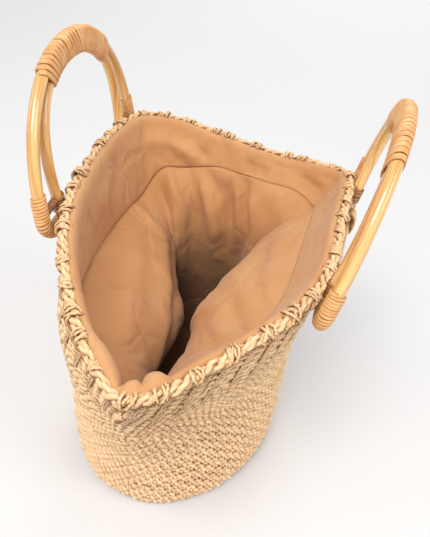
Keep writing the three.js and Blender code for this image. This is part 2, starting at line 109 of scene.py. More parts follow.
# Matt wall paint, rolled on: even, with clouds of a slightly darker tone a hand or two wide.
floor_corners = np.array([(-1, -1, 0), (1, -1, 0), (1, 1, 0), (-1, 1, 0)])
studio_floor = solid_object("studio_floor", floor_corners * FLOOR_HALF / MM, [(0, 1, 2, 3)])
floor_paint, tree, shader = new_material(
    "matt pale studio paint", Roughness=0.9, Specular_IOR_Level=0.2)
where = add_node(tree, "ShaderNodeTexCoord")
cloud = add_node(tree, "ShaderNodeTexNoise", [("Vector", where, "Object")], in_Scale=3.0)
tone = add_node(tree, "ShaderNodeMix", [(0, cloud, 0)], data_type="RGBA",
                in_6=linear("D6D6D7"), in_7=linear("D9D9DA"))
tree.links.new(tone.outputs[2], shader.inputs["Base Color"])
studio_floor.data.materials.append(floor_paint)

camera = bpy.data.objects.new("camera", bpy.data.cameras.new("camera"))
bpy.context.scene.collection.objects.link(camera)
back = Vector((
    math.sin(CAMERA_AZIMUTH) * math.cos(CAMERA_ELEVATION),
    -math.cos(CAMERA_AZIMUTH) * math.cos(CAMERA_ELEVATION),
    math.sin(CAMERA_ELEVATION),
))
right = Vector((math.cos(CAMERA_AZIMUTH), math.sin(CAMERA_AZIMUTH), 0))
upward = back.cross(right)
rolled_right = right * math.cos(CAMERA_ROLL) + upward * math.sin(CAMERA_ROLL)
rolled_up = upward * math.cos(CAMERA_ROLL) - right * math.sin(CAMERA_ROLL)
turn = Matrix((rolled_right, rolled_up, back)).transposed().to_4x4()
camera.matrix_world = Matrix.Translation(CAMERA_PLACE) @ turn
camera.data.lens = CAMERA_LENS
camera.data.sensor_width = 36.0
camera.data.dof.use_dof = False
bpy.context.scene.camera = camera


def area_lamp(name, place, aim, size, power, colour):
    """A round lamp of a size in metres and a power in watts that shines towards aim."""
    lamp = bpy.data.objects.new(name, bpy.data.lights.new(name, "AREA"))
    lamp.data.shape = "DISK"
    lamp.data.size = size
    lamp.data.energy = power
    lamp.data.color = linear(colour)[:3]
    lamp.location = place
    lamp.rotation_euler = (Vector(aim) - Vector(place)).to_track_quat("-Z", "Y").to_euler()
    bpy.context.scene.collection.objects.link(lamp)


area_lamp("key_lamp", (-0.1, -1.0, 1.55), (0, 0, 0.12), 0.9, 23, "FFFCF8")
area_lamp("left_lamp", (-1.5, -0.5, 1.0), (0, 0, 0.15), 1.0, 5, "FFFFFF")
area_lamp("right_lamp", (1.5, -0.4, 1.3), (0, 0, 0.15), 1.0, 11, "FFFFFF")
area_lamp("back_lamp", (0.0, 2.0, 1.4), (0, 1.0, 0.0), 1.6, 17, "FFFFFF")
white_room = bpy.data.worlds.new("white_room")
white_room.use_nodes = True
walls = white_room.node_tree.nodes["Background"]
walls.inputs["Color"].default_value = linear("FFFFFF")
walls.inputs["Strength"].default_value = 0.6
bpy.context.scene.world = white_room
bpy.context.scene.view_settings.view_transform = "Standard"

# ---------------------------------------------------------------------------
# The basket's wall: rows of two-ply twisted straw rope woven round upright straws, drawn in
# tight low down and opened at the mouth. Each row is one rope; the rows follow the wall's
# course from the oval floor up to the pointed, wavy rim.
# ---------------------------------------------------------------------------
FLOOR_HALF_WIDTH, FLOOR_HALF_LENGTH, FLOOR_TURN = 90.5, 111.5, math.radians(-8.5)
WALL_HEIGHT, WALL_THICKNESS = 258.0, 6.0
MOUTH_HALF = np.array([101.0, 148.5])
MOUTH_SHIFT = np.array([7.0, -33.5])
BRAID_RADIUS = 4.8
WALL_TOP_DROP = 2 * BRAID_RADIUS + 0.35
# across and along in shares of the mouth's halves, rise in a share of the wall's height
RIM_COURSE = np.array([
    (0.11, -0.99, 0.915), (0.31, -0.91, 0.923), (0.55, -0.71, 0.944), (0.79, -0.49, 0.967),
    (0.95, -0.27, 0.988), (1.0, -0.03, 0.998), (0.99, 0.3, 1.0), (0.985, 0.62, 0.99),
    (0.945, 0.8, 0.977), (0.76, 0.88, 0.967), (0.33, 0.92, 0.957), (-0.19, 0.985, 0.963),
    (-0.64, 0.995, 0.984), (-0.92, 0.87, 1.0), (-0.99, 0.63, 1.0), (-0.96, 0.28, 1.0),
    (-0.87, -0.06, 0.996), (-0.66, -0.41, 0.977), (-0.37, -0.71, 0.952), (-0.05, -0.93, 0.926),
])
# rise, blend from floor to rim, belly
WALL_COURSE = np.array([
    (0.0, 0.0, -0.1), (0.02, 0.0, -0.03), (0.07, 0.01, 0.0), (0.2, 0.05, 0.01), (0.38, 0.17, 0.01),
    (0.58, 0.38, 0.01), (0.77, 0.64, 0.01), (0.9, 0.86, 0.0), (1.0, 1.0, 0.0),
])
# turn, spread, rise, height, reach
WALL_DENTS = [(222, 34, 0.8, 0.22, 0.1), (-20, 34, 0.5, 0.25, -0.09)]
ROW_COUNT, ROW_STEPS, ROW_RADIUS, ROW_INSET = 38, 860, 2.85, 3.1
# marks of the twisted plies on one row's way round, and the share that is lost towards the rim
ROW_PLY_MARKS, LOOSER_TWIST = 172, 0.45
# uprights, and how far they lean from rim to floor in shares of the way round
UPRIGHT_COLUMNS, UPRIGHT_LEAN = 42, 0.06
# rises between which the weave opens and the twist loosens
WEAVE_OPENS, TWIST_LOOSENS = (0.6, 0.82), (0.55, 0.9)
# how far an open row dives behind an upright, and how far a tight one ripples
UPRIGHT_DIP, TIGHT_RIPPLE = 1.2, 0.7
# in shares of the uprights' pitch: how wide the dive is, and where the slit past an upright is
# widest and where it has closed
DIP_WIDTH, SLIT_WIDEST, SLIT_CLOSED = 0.15, 0.22, 0.9


def rim_table(samples=4800, between=60):
    """The rim's closed curve, a centripetal spline through its course, evenly spaced."""
    points = np.column_stack([
        MOUTH_SHIFT + RIM_COURSE[:, :2] * MOUTH_HALF, RIM_COURSE[:, 2] * WALL_HEIGHT,
    ])
    p0, p1, p2, p3 = (np.roll(points, k, axis=0) for k in (1, 0, -1, -2))
    pairs = ((p0, p1), (p1, p2), (p2, p3))
    d0, d1, d2 = (np.sqrt(np.linalg.norm(b - a, axis=1))[:, None] for a, b in pairs)
    m1 = ((p1 - p0) / d0 - (p2 - p0) / (d0 + d1) + (p2 - p1) / d1) * d1
    m2 = ((p2 - p1) / d1 - (p3 - p1) / (d1 + d2) + (p3 - p2) / d2) * d1
    t = np.linspace(0, 1, between, endpoint=False)[None, :, None]
    p1, p2, m1, m2 = (a[:, None, :] for a in (p1, p2, m1, m2))
    square, cube = -3 * p1 + 3 * p2 - 2 * m1 - m2, 2 * p1 - 2 * p2 + m1 + m2
    curve = (p1 + m1 * t + square * t ** 2 + cube * t ** 3).reshape(-1, 3)
    closed = np.vstack([curve, curve[:1]])
    length = np.concatenate([[0], np.cumsum(np.linalg.norm(np.diff(closed, axis=0), axis=1))])
    even = np.linspace(0, length[-1], samples, endpoint=False)
    return np.column_stack([np.interp(even, length, closed[:, k]) for k in range(3)])


RIM = rim_table()


def rim_at(s):
    """Points of the rim at shares s of its length, from its near tip towards the right."""
    place = (np.asarray(s) % 1.0) * len(RIM)
    low = np.floor(place).astype(int)
    part = (place - low)[..., None]
    return RIM[low % len(RIM)] * (1 - part) + RIM[(low + 1) % len(RIM)] * part


def rim_outward(s, reach=1 / 48):
    """Level directions out of the rim, taken over a reach each way so that tight bends are eased."""
    step = rim_at(s + reach) - rim_at(s - reach)
    outward = np.stack([step[..., 1], -step[..., 0], np.zeros_like(step[..., 0])], axis=-1)
    return outward / np.linalg.norm(outward, axis=-1, keepdims=True)


def rim_turn(s):
    """The direction of a rim point from the mouth's middle, which also places it on the floor."""
    across, along = np.moveaxis((rim_at(s)[..., :2] - MOUTH_SHIFT) / MOUTH_HALF, -1, 0)
    return np.arctan2(along, across)


def course_at(column, rise):
    """A column of the wall's course at a rise, read with a smooth curve between rows."""
    rises, values = WALL_COURSE[:, 0], WALL_COURSE[:, column]
    last = len(rises) - 1
    i = np.clip(np.searchsorted(rises, rise) - 1, 0, last - 1)
    rows = [np.clip(i + k, 0, last) for k in (-1, 0, 1, 2)]
    span = rises[rows[2]] - rises[rows[1]]
    t = np.clip((rise - rises[rows[1]]) / span, 0, 1)

    def slope(a, b):
        return (values[b] - values[a]) / np.maximum(rises[b] - rises[a], 1e-9) * span

    start, end = slope(rows[0], rows[2]), slope(rows[1], rows[3])
    return ((2 * t ** 3 - 3 * t ** 2 + 1) * values[rows[1]] + (t ** 3 - 2 * t ** 2 + t) * start
            + (3 * t ** 2 - 2 * t ** 3) * values[rows[2]] + (t ** 3 - t ** 2) * end)


def turn_gap(turn, degrees):
    """How far turns in radians are from one in degrees, in degrees, the short way round."""
    away = turn - math.radians(degrees)
    return np.degrees(np.arctan2(np.sin(away), np.cos(away)))


def dent_reach(turn, rise):
    """How far the soft wall is pushed out or in by its two broad dents."""
    reach = 0
    for place, spread, level, height, push in WALL_DENTS:
        away = (turn_gap(turn, place) / spread) ** 2 + ((rise - level) / height) ** 2
        reach = reach + push * FLOOR_HALF_WIDTH * np.exp(-away)
    return reach * np.sqrt(np.sin(np.pi * np.clip(rise, 0, 1)))


def floor_oval(turn, inset=0.0, height=0.0):
    """Points of the floor's oval at turns, inset from the wall's foot, at a height."""
    across, along = (FLOOR_HALF_WIDTH - inset) * np.cos(turn), (FLOOR_HALF_LENGTH - inset) * np.sin(turn)
    c, s = math.cos(FLOOR_TURN), math.sin(FLOOR_TURN)
    level = np.full_like(across, height)
    return np.stack([across * c - along * s, across * s + along * c, level], axis=-1)


def wall_at(s, rise, inset=0.0):
    """Points of the wall at shares s of its way round and rises, inset from its outer face."""
    s, rise, inset = np.broadcast_arrays(np.asarray(s, float), rise, inset)
    top, turn = rim_at(s), rim_turn(s)
    level = floor_oval(turn)
    level = level + (top - level) * course_at(1, rise)[..., None]
    out = course_at(2, rise) * FLOOR_HALF_WIDTH + dent_reach(turn, rise) - inset
    level = level + rim_outward(s) * out[..., None]
    level[..., 2] = rise * (top[..., 2] - WALL_TOP_DROP)
    return level


def wavy(s, seed, waves, size):
    """A smooth closed variation round the basket, the same at every run."""
    chance = np.random.default_rng(seed)
    total = np.zeros_like(s)
    for wave in waves:
        total = total + chance.normal() * np.sin(2 * np.pi * (wave * s + chance.random()))
    return size * total / math.sqrt(len(waves))


def smooth_step(low, high, value):
    """0 below low, 1 above high, and a soft rise between them."""
    t = np.clip((value - low) / (high - low), 0, 1)
    return t * t * (3 - 2 * t)


def rope_curves(name, ropes):
    """A curve object of plain splines from (points in mm, radii in mm, twist, is closed) rows."""
    data = bpy.data.curves.new(name, "CURVE")
    data.dimensions = "3D"
    data.twist_mode = "Z_UP"
    for points, radii, twist, closed in ropes:
        spline = data.splines.new("POLY")
        count = len(points)
        spline.points.add(count - 1)
        spline.points.foreach_set("co", np.column_stack([points * MM, np.ones(count)]).ravel())
        spline.points.foreach_set("radius", np.broadcast_to(radii, count) * MM)
        spline.points.foreach_set("tilt", np.broadcast_to(twist, count).astype(float))
        spline.use_cyclic_u = closed
    thing = bpy.data.objects.new(name, data)
    bpy.context.scene.collection.objects.link(thing)
    return thing


def rope_tree():
    """Geometry Nodes: lays a rope of one or more plies along curves that carry their own radius
    and twist, and stores where each point lies in the straight rope, for the fibres."""
    tree = bpy.data.node_groups.new("rope laid along its course", "GeometryNodeTree")
    inputs = {"Courses": "Geometry", "Plies": "Float", "Groove": "Float", "Section points": "Int",
              "Seed": "Int", "Upward": "Float", "Finish": "Material"}
    for name, kind in inputs.items():
        tree.interface.new_socket(name, in_out="INPUT", socket_type="NodeSocket" + kind)
    tree.interface.new_socket("Rope", in_out="OUTPUT", socket_type="NodeSocketGeometry")
    given = add_node(tree, "NodeGroupInput")
    # the section: a circle drawn in between its plies
    circle = add_node(tree, "GeometryNodeCurvePrimitiveCircle",
                      [("Resolution", given, "Section points")], in_Radius=1.0)
    place = add_node(tree, "GeometryNodeInputPosition")
    parts = add_node(tree, "ShaderNodeSeparateXYZ", [(0, place, 0)])
    angle = add_node(tree, "ShaderNodeMath", [(0, parts, "Y"), (1, parts, "X")], operation="ARCTAN2")
    lobes = add_node(tree, "ShaderNodeMath", [(0, angle, 0), (1, given, "Plies")], operation="MULTIPLY")
    wave = add_node(tree, "ShaderNodeMath", [(0, lobes, 0)], operation="COSINE")
    swell = add_node(tree, "ShaderNodeMath", [(0, wave, 0), (1, given, "Groove")],
                     operation="MULTIPLY_ADD", in_2=1.0)
    shaped = add_node(tree, "ShaderNodeVectorMath", [(0, place, 0), ("Scale", swell, 0)], operation="SCALE")
    section = add_node(tree, "GeometryNodeSetPosition",
                       [("Geometry", circle, "Curve"), ("Position", shaped, 0)])
    keep_section = add_node(tree, "GeometryNodeCaptureAttribute", [("Geometry", section, 0)])
    keep_section.capture_items.new("VECTOR", "Section")
    tree.links.new(place.outputs[0], keep_section.inputs[1])
    # the course: how far along the rope, how thick and where its middle lies
    run = add_node(tree, "GeometryNodeSplineParameter")
    size = add_node(tree, "GeometryNodeInputRadius")
    keep_run = add_node(tree, "GeometryNodeCaptureAttribute", [("Geometry", given, "Courses")])
    kept = (("FLOAT", "Run", run.outputs["Length"]), ("FLOAT", "Size", size.outputs[0]),
            ("VECTOR", "Middle", place.outputs[0]))
    for number, (kind, name, output) in enumerate(kept):
        keep_run.capture_items.new(kind, name)
        tree.links.new(output, keep_run.inputs[number + 1])
    keep_rope = add_node(tree, "GeometryNodeCaptureAttribute", [("Geometry", keep_run, 0)], domain="CURVE")
    keep_rope.capture_items.new("INT", "Number")
    index = add_node(tree, "GeometryNodeInputIndex")
    tree.links.new(index.outputs[0], keep_rope.inputs[1])
    skin = add_node(tree, "GeometryNodeCurveToMesh", [
        ("Curve", keep_rope, 0), ("Profile Curve", keep_section, 0), ("Scale", size, 0),
    ], in_Fill_Caps=True)
    # what the finish reads: the place in the straight rope, a tone for each rope and how far a
    # point stands out of the wall, which the straw finish turns into painted light and shade
    sized = add_node(tree, "ShaderNodeVectorMath", [(0, keep_section, 1), ("Scale", keep_run, 2)],
                     operation="SCALE")
    along = add_node(tree, "ShaderNodeCombineXYZ", [("Z", keep_run, 1)])
    local = add_node(tree, "ShaderNodeVectorMath", [(0, sized, 0), (1, along, 0)], operation="ADD")
    tone = add_node(tree, "FunctionNodeRandomValue", [("ID", keep_rope, 1), ("Seed", given, "Seed")],
                    data_type="FLOAT")
    level = add_node(tree, "ShaderNodeVectorMath", [(0, keep_run, 3)], operation="MULTIPLY", in_1=(1, 1, 0))
    away = add_node(tree, "ShaderNodeVectorMath", [(0, level, 0)], operation="NORMALIZE")
    lifted = add_node(tree, "ShaderNodeCombineXYZ", [("Z", given, "Upward")])
    outward = add_node(tree, "ShaderNodeVectorMath", [(0, away, 0), (1, lifted, 0)], operation="ADD")
    outward = add_node(tree, "ShaderNodeVectorMath", [(0, outward, 0)], operation="NORMALIZE")
    arm = add_node(tree, "ShaderNodeVectorMath", [(0, place, 0), (1, keep_run, 3)], operation="SUBTRACT")
    reach = add_node(tree, "ShaderNodeVectorMath", [(0, arm, 0), (1, outward, 0)], operation="DOT_PRODUCT")
    proud = add_node(tree, "ShaderNodeMath", [(0, reach, "Value"), (1, keep_run, 2)], operation="DIVIDE")
    stored = skin
    for name, kind, source, output in (("straight_place", "FLOAT_VECTOR", local, 0),
                                       ("rope_tone", "FLOAT", tone, 1), ("proud", "FLOAT", proud, 0)):
        stored = add_node(tree, "GeometryNodeStoreNamedAttribute",
                          [("Geometry", stored, 0), ("Value", source, output)],
                          data_type=kind, in_Name=name)
    smooth = add_node(tree, "GeometryNodeSetShadeSmooth", [("Geometry", stored, 0)])
    real = add_node(tree, "GeometryNodeRealizeInstances", [("Geometry", smooth, 0)])
    finish = add_node(tree, "GeometryNodeSetMaterial", [("Geometry", real, 0), ("Material", given, "Finish")])
    add_node(tree, "NodeGroupOutput", [(0, finish, 0)])
    return tree


ROPE_TREE = rope_tree()


def laid_rope(name, ropes, finish, plies=2, groove=0.25, section_points=8, seed=1, upward=0.0):
    """Runs the rope tree over courses and keeps the result as one plain mesh object."""
    courses = rope_curves(name + "_course", ropes)
    layer = courses.modifiers.new("rope", "NODES")
    layer.node_group = ROPE_TREE
    values = {"Plies": float(plies), "Groove": groove, "Section points": section_points, "Seed": seed,
              "Upward": float(upward), "Finish": finish}
    for socket in ROPE_TREE.interface.items_tree:
        if socket.in_out == "INPUT" and socket.name in values:
            layer[socket.identifier] = values[socket.name]
    evaluated = courses.evaluated_get(bpy.context.evaluated_depsgraph_get())
    mesh = bpy.data.meshes.new_from_object(evaluated)
    mesh.name = name
    thing = bpy.data.objects.new(name, mesh)
    bpy.context.scene.collection.objects.link(thing)
    bpy.data.objects.remove(courses)
    return thing


def fibre_noise(tree, drawn_out, scale, detail):
    """Noise of lengthwise fibres on a rope, cane or strip, read at its place when straight."""
    place = add_node(tree, "ShaderNodeAttribute", attribute_name="straight_place")
    stretch = add_node(tree, "ShaderNodeMapping", [("Vector", place, "Vector")],
                       in_Scale=(1.0, 1.0, drawn_out))
    return add_node(tree, "ShaderNodeTexNoise", [("Vector", stretch, 0)], in_Scale=scale, in_Detail=detail)


# Straw rope: dried rush or paper-straw, twisted by hand and left bare. Matt, with fibres about
# 1 mm apart, coarser than real ones so that they show, painted light on the high spots, and brown
# painted shade where plies and rows press together.
def straw_finish(name, light, middle, dark, bump, shaded=0.3):
    material, tree, shader = new_material(name, Roughness=0.72, Specular_IOR_Level=0.35)
    fibre = fibre_noise(tree, 0.12, 1100.0, 3.0)
    where = add_node(tree, "ShaderNodeTexCoord")
    patch = add_node(tree, "ShaderNodeTexNoise", [("Vector", where, "Object")], in_Scale=45.0, in_Detail=2.0)
    rope_tone = add_node(tree, "ShaderNodeAttribute", attribute_name="rope_tone")
    proud = add_node(tree, "ShaderNodeAttribute", attribute_name="proud")
    # painted light and shade: dark brown where a point lies deep between plies and rows, pale where it stands
    # out
    blend = add_node(tree, "ShaderNodeMapRange", [(0, proud, "Fac")],
                     in_1=shaded, in_2=1.15, in_3=0.0, in_4=0.62)
    for source, output, share in ((fibre, 0, 0.5), (patch, 0, 0.2), (rope_tone, "Fac", 0.08)):
        blend = add_node(tree, "ShaderNodeMath", [(0, source, output), (2, blend, 0)],
                         operation="MULTIPLY_ADD", in_1=share)
    ramp = add_node(tree, "ShaderNodeValToRGB", [(0, blend, 0)],
                    stops=[(0.36, dark), (0.66, middle), (0.98, light)])
    tree.links.new(ramp.outputs[0], shader.inputs["Base Color"])
    relief = add_node(tree, "ShaderNodeBump", [("Height", fibre, 0)], in_Strength=bump, in_Distance=0.0006)
    tree.links.new(relief.outputs[0], shader.inputs["Normal"])
    return material


straw = straw_finish("twisted dry straw", "F7D6AC", "E2B98B", "7A5232", 0.7)


def weave_rows(first, last):
    """Courses of the rows from first up to last. High up each rope dives behind the uprights
    and gapes beside them; low down the rows are tight and only ripple."""
    s = np.arange(ROW_STEPS) / ROW_STEPS
    row_chance = np.random.default_rng(40 + first)
    ropes = []
    for row in range(first, last):
        rise = (row + 0.5) / ROW_COUNT
        rise_here = rise + wavy(s, 100 + row, (3, 5, 8, 13, 21), 0.0022)
        opened = smooth_step(*WEAVE_OPENS, rise)
        column = UPRIGHT_COLUMNS * (s + UPRIGHT_LEAN * (1 - rise)) + 0.5
        off = column - np.round(column)
        dip = np.exp(-(off / DIP_WIDTH) ** 2)
        ahead = off % 1.0
        opening = np.clip(ahead / SLIT_WIDEST, 0, 1)
        slit = opening * np.clip((SLIT_CLOSED - ahead) / (SLIT_CLOSED - SLIT_WIDEST), 0, 1)
        fine = np.cos(2 * np.pi * 1.5 * UPRIGHT_COLUMNS * s + np.pi * row)
        inset = ROW_INSET + UPRIGHT_DIP * dip * opened - TIGHT_RIPPLE * fine * (1 - opened)
        inset = inset + wavy(s, 300 + row, (7, 11, 17, 29), 0.25)
        tight = 1 - (0.3 + 0.12 * row_chance.random()) * slit * opened
        radius = ROW_RADIUS * (tight + wavy(s, 500 + row, (9, 19, 31, 47), 0.07))
        marks = round(ROW_PLY_MARKS * (1 - LOOSER_TWIST * smooth_step(*TWIST_LOOSENS, rise)))
        twist = math.pi * marks * s + 2.4 * row
        points = wall_at(s, rise_here, inset)
        points[:, 2] = np.maximum(points[:, 2], 1.25 * radius)
        ropes.append((points, radius, twist, True))
    return ropes


# name, first row, row after the last, and how far the side that the finish paints lit is turned up
WEAVES = [("foot_weave", 0, 10, 0.1), ("lower_weave", 10, 20, 0.2), ("middle_weave", 20, 29, 0.5),
          ("upper_weave", 29, ROW_COUNT, 0.9)]
for name, first, last, upward in WEAVES:
    weave = laid_rope(name, weave_rows(first, last), straw, seed=3 + first, upward=upward)
    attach(weave, "root")
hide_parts("basket_body")

# ---------------------------------------------------------------------------
# The floor of the bag: the same rope laid in ovals, one inside the other, from the wall's foot
# to the middle, and a dense inner face of straw behind the rows, coloured dark as painted shade
# that shows between the rows.
# ---------------------------------------------------------------------------
FLOOR_RINGS, FLOOR_RING_INSET, FLOOR_ROPE_PITCH = 13, 11.5, 6.3
FLOOR_ROPE_RADIUS, FLOOR_ROPE_HEIGHT = 3.0, 3.8


def floor_rings():
    """The floor's ovals, each with as many steps as its length needs."""
    ropes = []
    for ring in range(FLOOR_RINGS):
        inset = FLOOR_RING_INSET + ring * FLOOR_ROPE_PITCH
        steps = int(48 + 432 * (FLOOR_HALF_WIDTH - inset) / FLOOR_HALF_WIDTH)
        way_round = np.arange(steps) / steps
        points = floor_oval(2 * np.pi * way_round, inset, FLOOR_ROPE_HEIGHT)
        ropes.append((points, FLOOR_ROPE_RADIUS, math.pi * (steps // 3) * way_round, True))
    return ropes


# upward=-9 turns the painted light to the undersides of the floor's ropes, so their tops are painted darkest
floor_weave = laid_rope("floor_weave", floor_rings(), straw, seed=5, upward=-9)
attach(floor_weave, "root")


def grid_faces(rows, columns):
    """Quads of a grid of rows and columns, wrapping round the columns."""
    faces = []
    for r in range(rows - 1):
        low, high = r * columns, (r + 1) * columns
        for i in range(columns):
            j = (i + 1) % columns
            faces.append((low + i, low + j, high + j, high + i))
    return faces


BACK_COLUMNS, BACK_INSET, BACK_RIB = 336, 5.0, 0.5
back_rises = np.linspace(0.012, 0.985, 34)
s = np.arange(BACK_COLUMNS) / BACK_COLUMNS
ribs = BACK_RIB * np.cos(2 * np.pi * 2 * UPRIGHT_COLUMNS * s)
inner_face = np.vstack([wall_at(s, rise, BACK_INSET + ribs) for rise in back_rises])
inner_points = np.vstack([inner_face, inner_face[:BACK_COLUMNS].mean(axis=0)])
inner_quads = grid_faces(len(back_rises), BACK_COLUMNS)
inner_quads += [(len(inner_points) - 1, (i + 1) % BACK_COLUMNS, i) for i in range(BACK_COLUMNS)]
wall_back = solid_object("wall_back", inner_points, inner_quads)
# painted shade: the inner face stands for the straw behind the rows, and its dark colours are the shade in
# the gaps
painted_shade_straw = straw_finish("straw in painted shade behind the rows", "8A6238", "6B4828", "4A3019", 0.4)
wall_back.data.materials.append(painted_shade_straw)
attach(wall_back, "root")

# ---------------------------------------------------------------------------
# The border: a slim cable of three straw strands lies on the wall's last row, and thirty-six
# times on its way round a few thin strands are hitched about it, which leaves small knots.
# ---------------------------------------------------------------------------
RIM_KNOTS = 36
CABLE_STEPS, CABLE_STRAND_RADIUS, CABLE_RADIUS, CABLE_TURNS = 640, 2.1, 2.0, 34
# ply marks on one way round of a strand and of the bed row, and the bed's place and size
CABLE_PLY_MARKS, BED_PLY_MARKS, BED_DROP, BED_INSET, BED_RADIUS = 110, 130, 0.6, 1.6, 2.5
HITCH_RADIUS, HITCH_STRAND_RADIUS = 4.3, 1.15
# run and slant of each hitched turn, in millimetres
HITCH_TURNS = [(-3.0, 2.4), (-1.0, -1.6), (1.0, 2.8), (3.0, -1.2)]


def smooth_course(table, samples):
    """An even reading of a short table of points along a smooth curve."""
    table = np.asarray(table, float)
    t = np.linspace(0, len(table) - 1, samples)
    i = np.clip(np.floor(t).astype(int), 0, len(table) - 2)
    u = (t - i)[:, None]
    ends = [np.clip(i + k, 0, len(table) - 1) for k in (-1, 0, 1, 2)]
    p = [table[k] for k in ends]
    return 0.5 * (2 * p[1] + (p[2] - p[0]) * u + (2 * p[0] - 5 * p[1] + 4 * p[2] - p[3]) * u ** 2
                  + (3 * p[1] - p[0] - 3 * p[2] + p[3]) * u ** 3)


def border_hitches():
    """A few strands bent round the cable at every knot, no two alike."""
    chance = np.random.default_rng(11)
    rim_length = np.sum(np.linalg.norm(RIM - np.roll(RIM, 1, axis=0), axis=1))
    around = 2 * np.pi * np.arange(16) / 16
    ropes = []
    for knot in range(RIM_KNOTS):
        size = 1 + 0.1 * chance.normal()
        middle = knot + 0.12 * chance.normal()
        for run, slant in HITCH_TURNS:
            slant = slant * (1 + 0.4 * chance.normal())
            along = run * size + slant * np.sin(around + 0.6 * chance.normal())
            along = along + 0.3 * chance.normal()
            s = middle / RIM_KNOTS + along / rim_length
            radius = HITCH_RADIUS * size * (1 + 0.07 * chance.normal()) * (1.1 - 0.05 * abs(run))
            points = rim_at(s) - np.array([0, 0, BRAID_RADIUS])
            points = points + rim_outward(s) * (radius * np.cos(around))[:, None]
            points[:, 2] += radius * np.sin(around) + 0.3
            thickness = HITCH_STRAND_RADIUS * (1 + 0.1 * chance.normal())
            ropes.append((points, thickness, 4 * around, True))
    return ropes


def border_cable():
    """Three strands laid up with each other, a little loose."""
    s = np.arange(CABLE_STEPS) / CABLE_STEPS
    ropes = []
    for strand in range(3):
        phase = 2 * np.pi * (CABLE_TURNS * s + strand / 3)
        phase = phase + wavy(s, 70 + strand, (5, 9, 14), 0.4)
        points = rim_at(s) - np.array([0, 0, BRAID_RADIUS])
        reach = CABLE_RADIUS * (1 + wavy(s, 80 + strand, (7, 12, 23), 0.15))
        points = points + rim_outward(s) * (reach * np.cos(phase))[:, None]
        points[:, 2] += reach * np.sin(phase)
        ropes.append((points, CABLE_STRAND_RADIUS, math.pi * CABLE_PLY_MARKS * s, True))
    return ropes


def border_bed():
    """The wall's last row, which the cable lies on."""
    s = np.arange(CABLE_STEPS) / CABLE_STEPS
    points = rim_at(s) - np.array([0, 0, 2 * BRAID_RADIUS + BED_DROP]) - rim_outward(s) * BED_INSET
    return [(points, BED_RADIUS, math.pi * BED_PLY_MARKS * s, True)]


# the border's straw carries the same painted light and shade, less dark, with its lit side turned up
border_straw = straw_finish("folded border straw", "F0CEA3", "D6AC7E", "7A5030", 0.8, shaded=-0.1)
rim_hitches = laid_rope("rim_hitches", border_hitches(), border_straw, groove=0.2, seed=7, upward=3)
rim_cable = laid_rope("rim_cable", border_cable() + border_bed(), border_straw, seed=8, upward=3)
for piece in (rim_hitches, rim_cable):
    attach(piece, "root")
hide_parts("rim_braid")


# each upright shows as two straws, so far from its middle in shares of the uprights' pitch, down
# to the rise where the rows cover them
UPRIGHT_STRAW_RADIUS, UPRIGHT_HALF_WIDTH, UPRIGHTS_END = 1.25, 0.055, 0.62


def upright_straws():
    """The bundles that show on the outside below the border before they go in under the rows."""
    ropes = []
    rise = np.linspace(0.985, UPRIGHTS_END, 26)
    inset = 1.3 + 3.4 * (1 - smooth_step(UPRIGHTS_END, 0.84, rise))
    for column in range(UPRIGHT_COLUMNS):
        for side in (-UPRIGHT_HALF_WIDTH, UPRIGHT_HALF_WIDTH):
            s = (column - 0.5 + side) / UPRIGHT_COLUMNS - UPRIGHT_LEAN * (1 - rise)
            twist = np.linspace(0, 24, len(rise))
            ropes.append((wall_at(s, rise, inset), UPRIGHT_STRAW_RADIUS, twist, False))
    return ropes


uprights = laid_rope("upright_straws", upright_straws(), straw, groove=0.2, section_points=6, seed=9)
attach(uprights, "root")

# ---------------------------------------------------------------------------
# The lining: thin plain tan cloth. A straight facing band is sewn to the rim and hangs against
# the wall; the bag below is sewn to its lower edge and falls inward in large soft folds.
# ---------------------------------------------------------------------------
CLOTH_THICKNESS, CLOTH_LOOSENESS = 1.2, 2.2
FACING_DEPTH, FACING_PULL = 70.0, 14.0
SEAM_GAP, LINING_FLOOR_LIFT = 0.4, 9.0
# turn in degrees, and the seam's depth and pull there in shares of the most that they may be
FACING_COURSE = np.array([
    (0, 0.43, 0.9), (40, 0.34, 0.8), (62, 0.2, 0.5), (95, 0.26, 0.3), (125, 0.5, 0.4), (150, 0.85, 0.3),
    (195, 0.95, 0.2), (230, 0.9, 0.3), (262, 0.75, 0.3), (276, 0.65, 0.3), (290, 0.6, 0.4), (315, 0.5, 0.8),
])
# turn and spread in degrees, the rise where a fold ends below, and its reach in the mouth's halves
LINING_FOLDS = [
    (202, 56, 0.0, 0.8), (-2, 56, 0.0, 0.65), (46, 10, 0.1, 0.1), (74, 8, 0.1, 0.1),
    (98, 8, 0.1, 0.12), (122, 10, 0.1, 0.12),
]
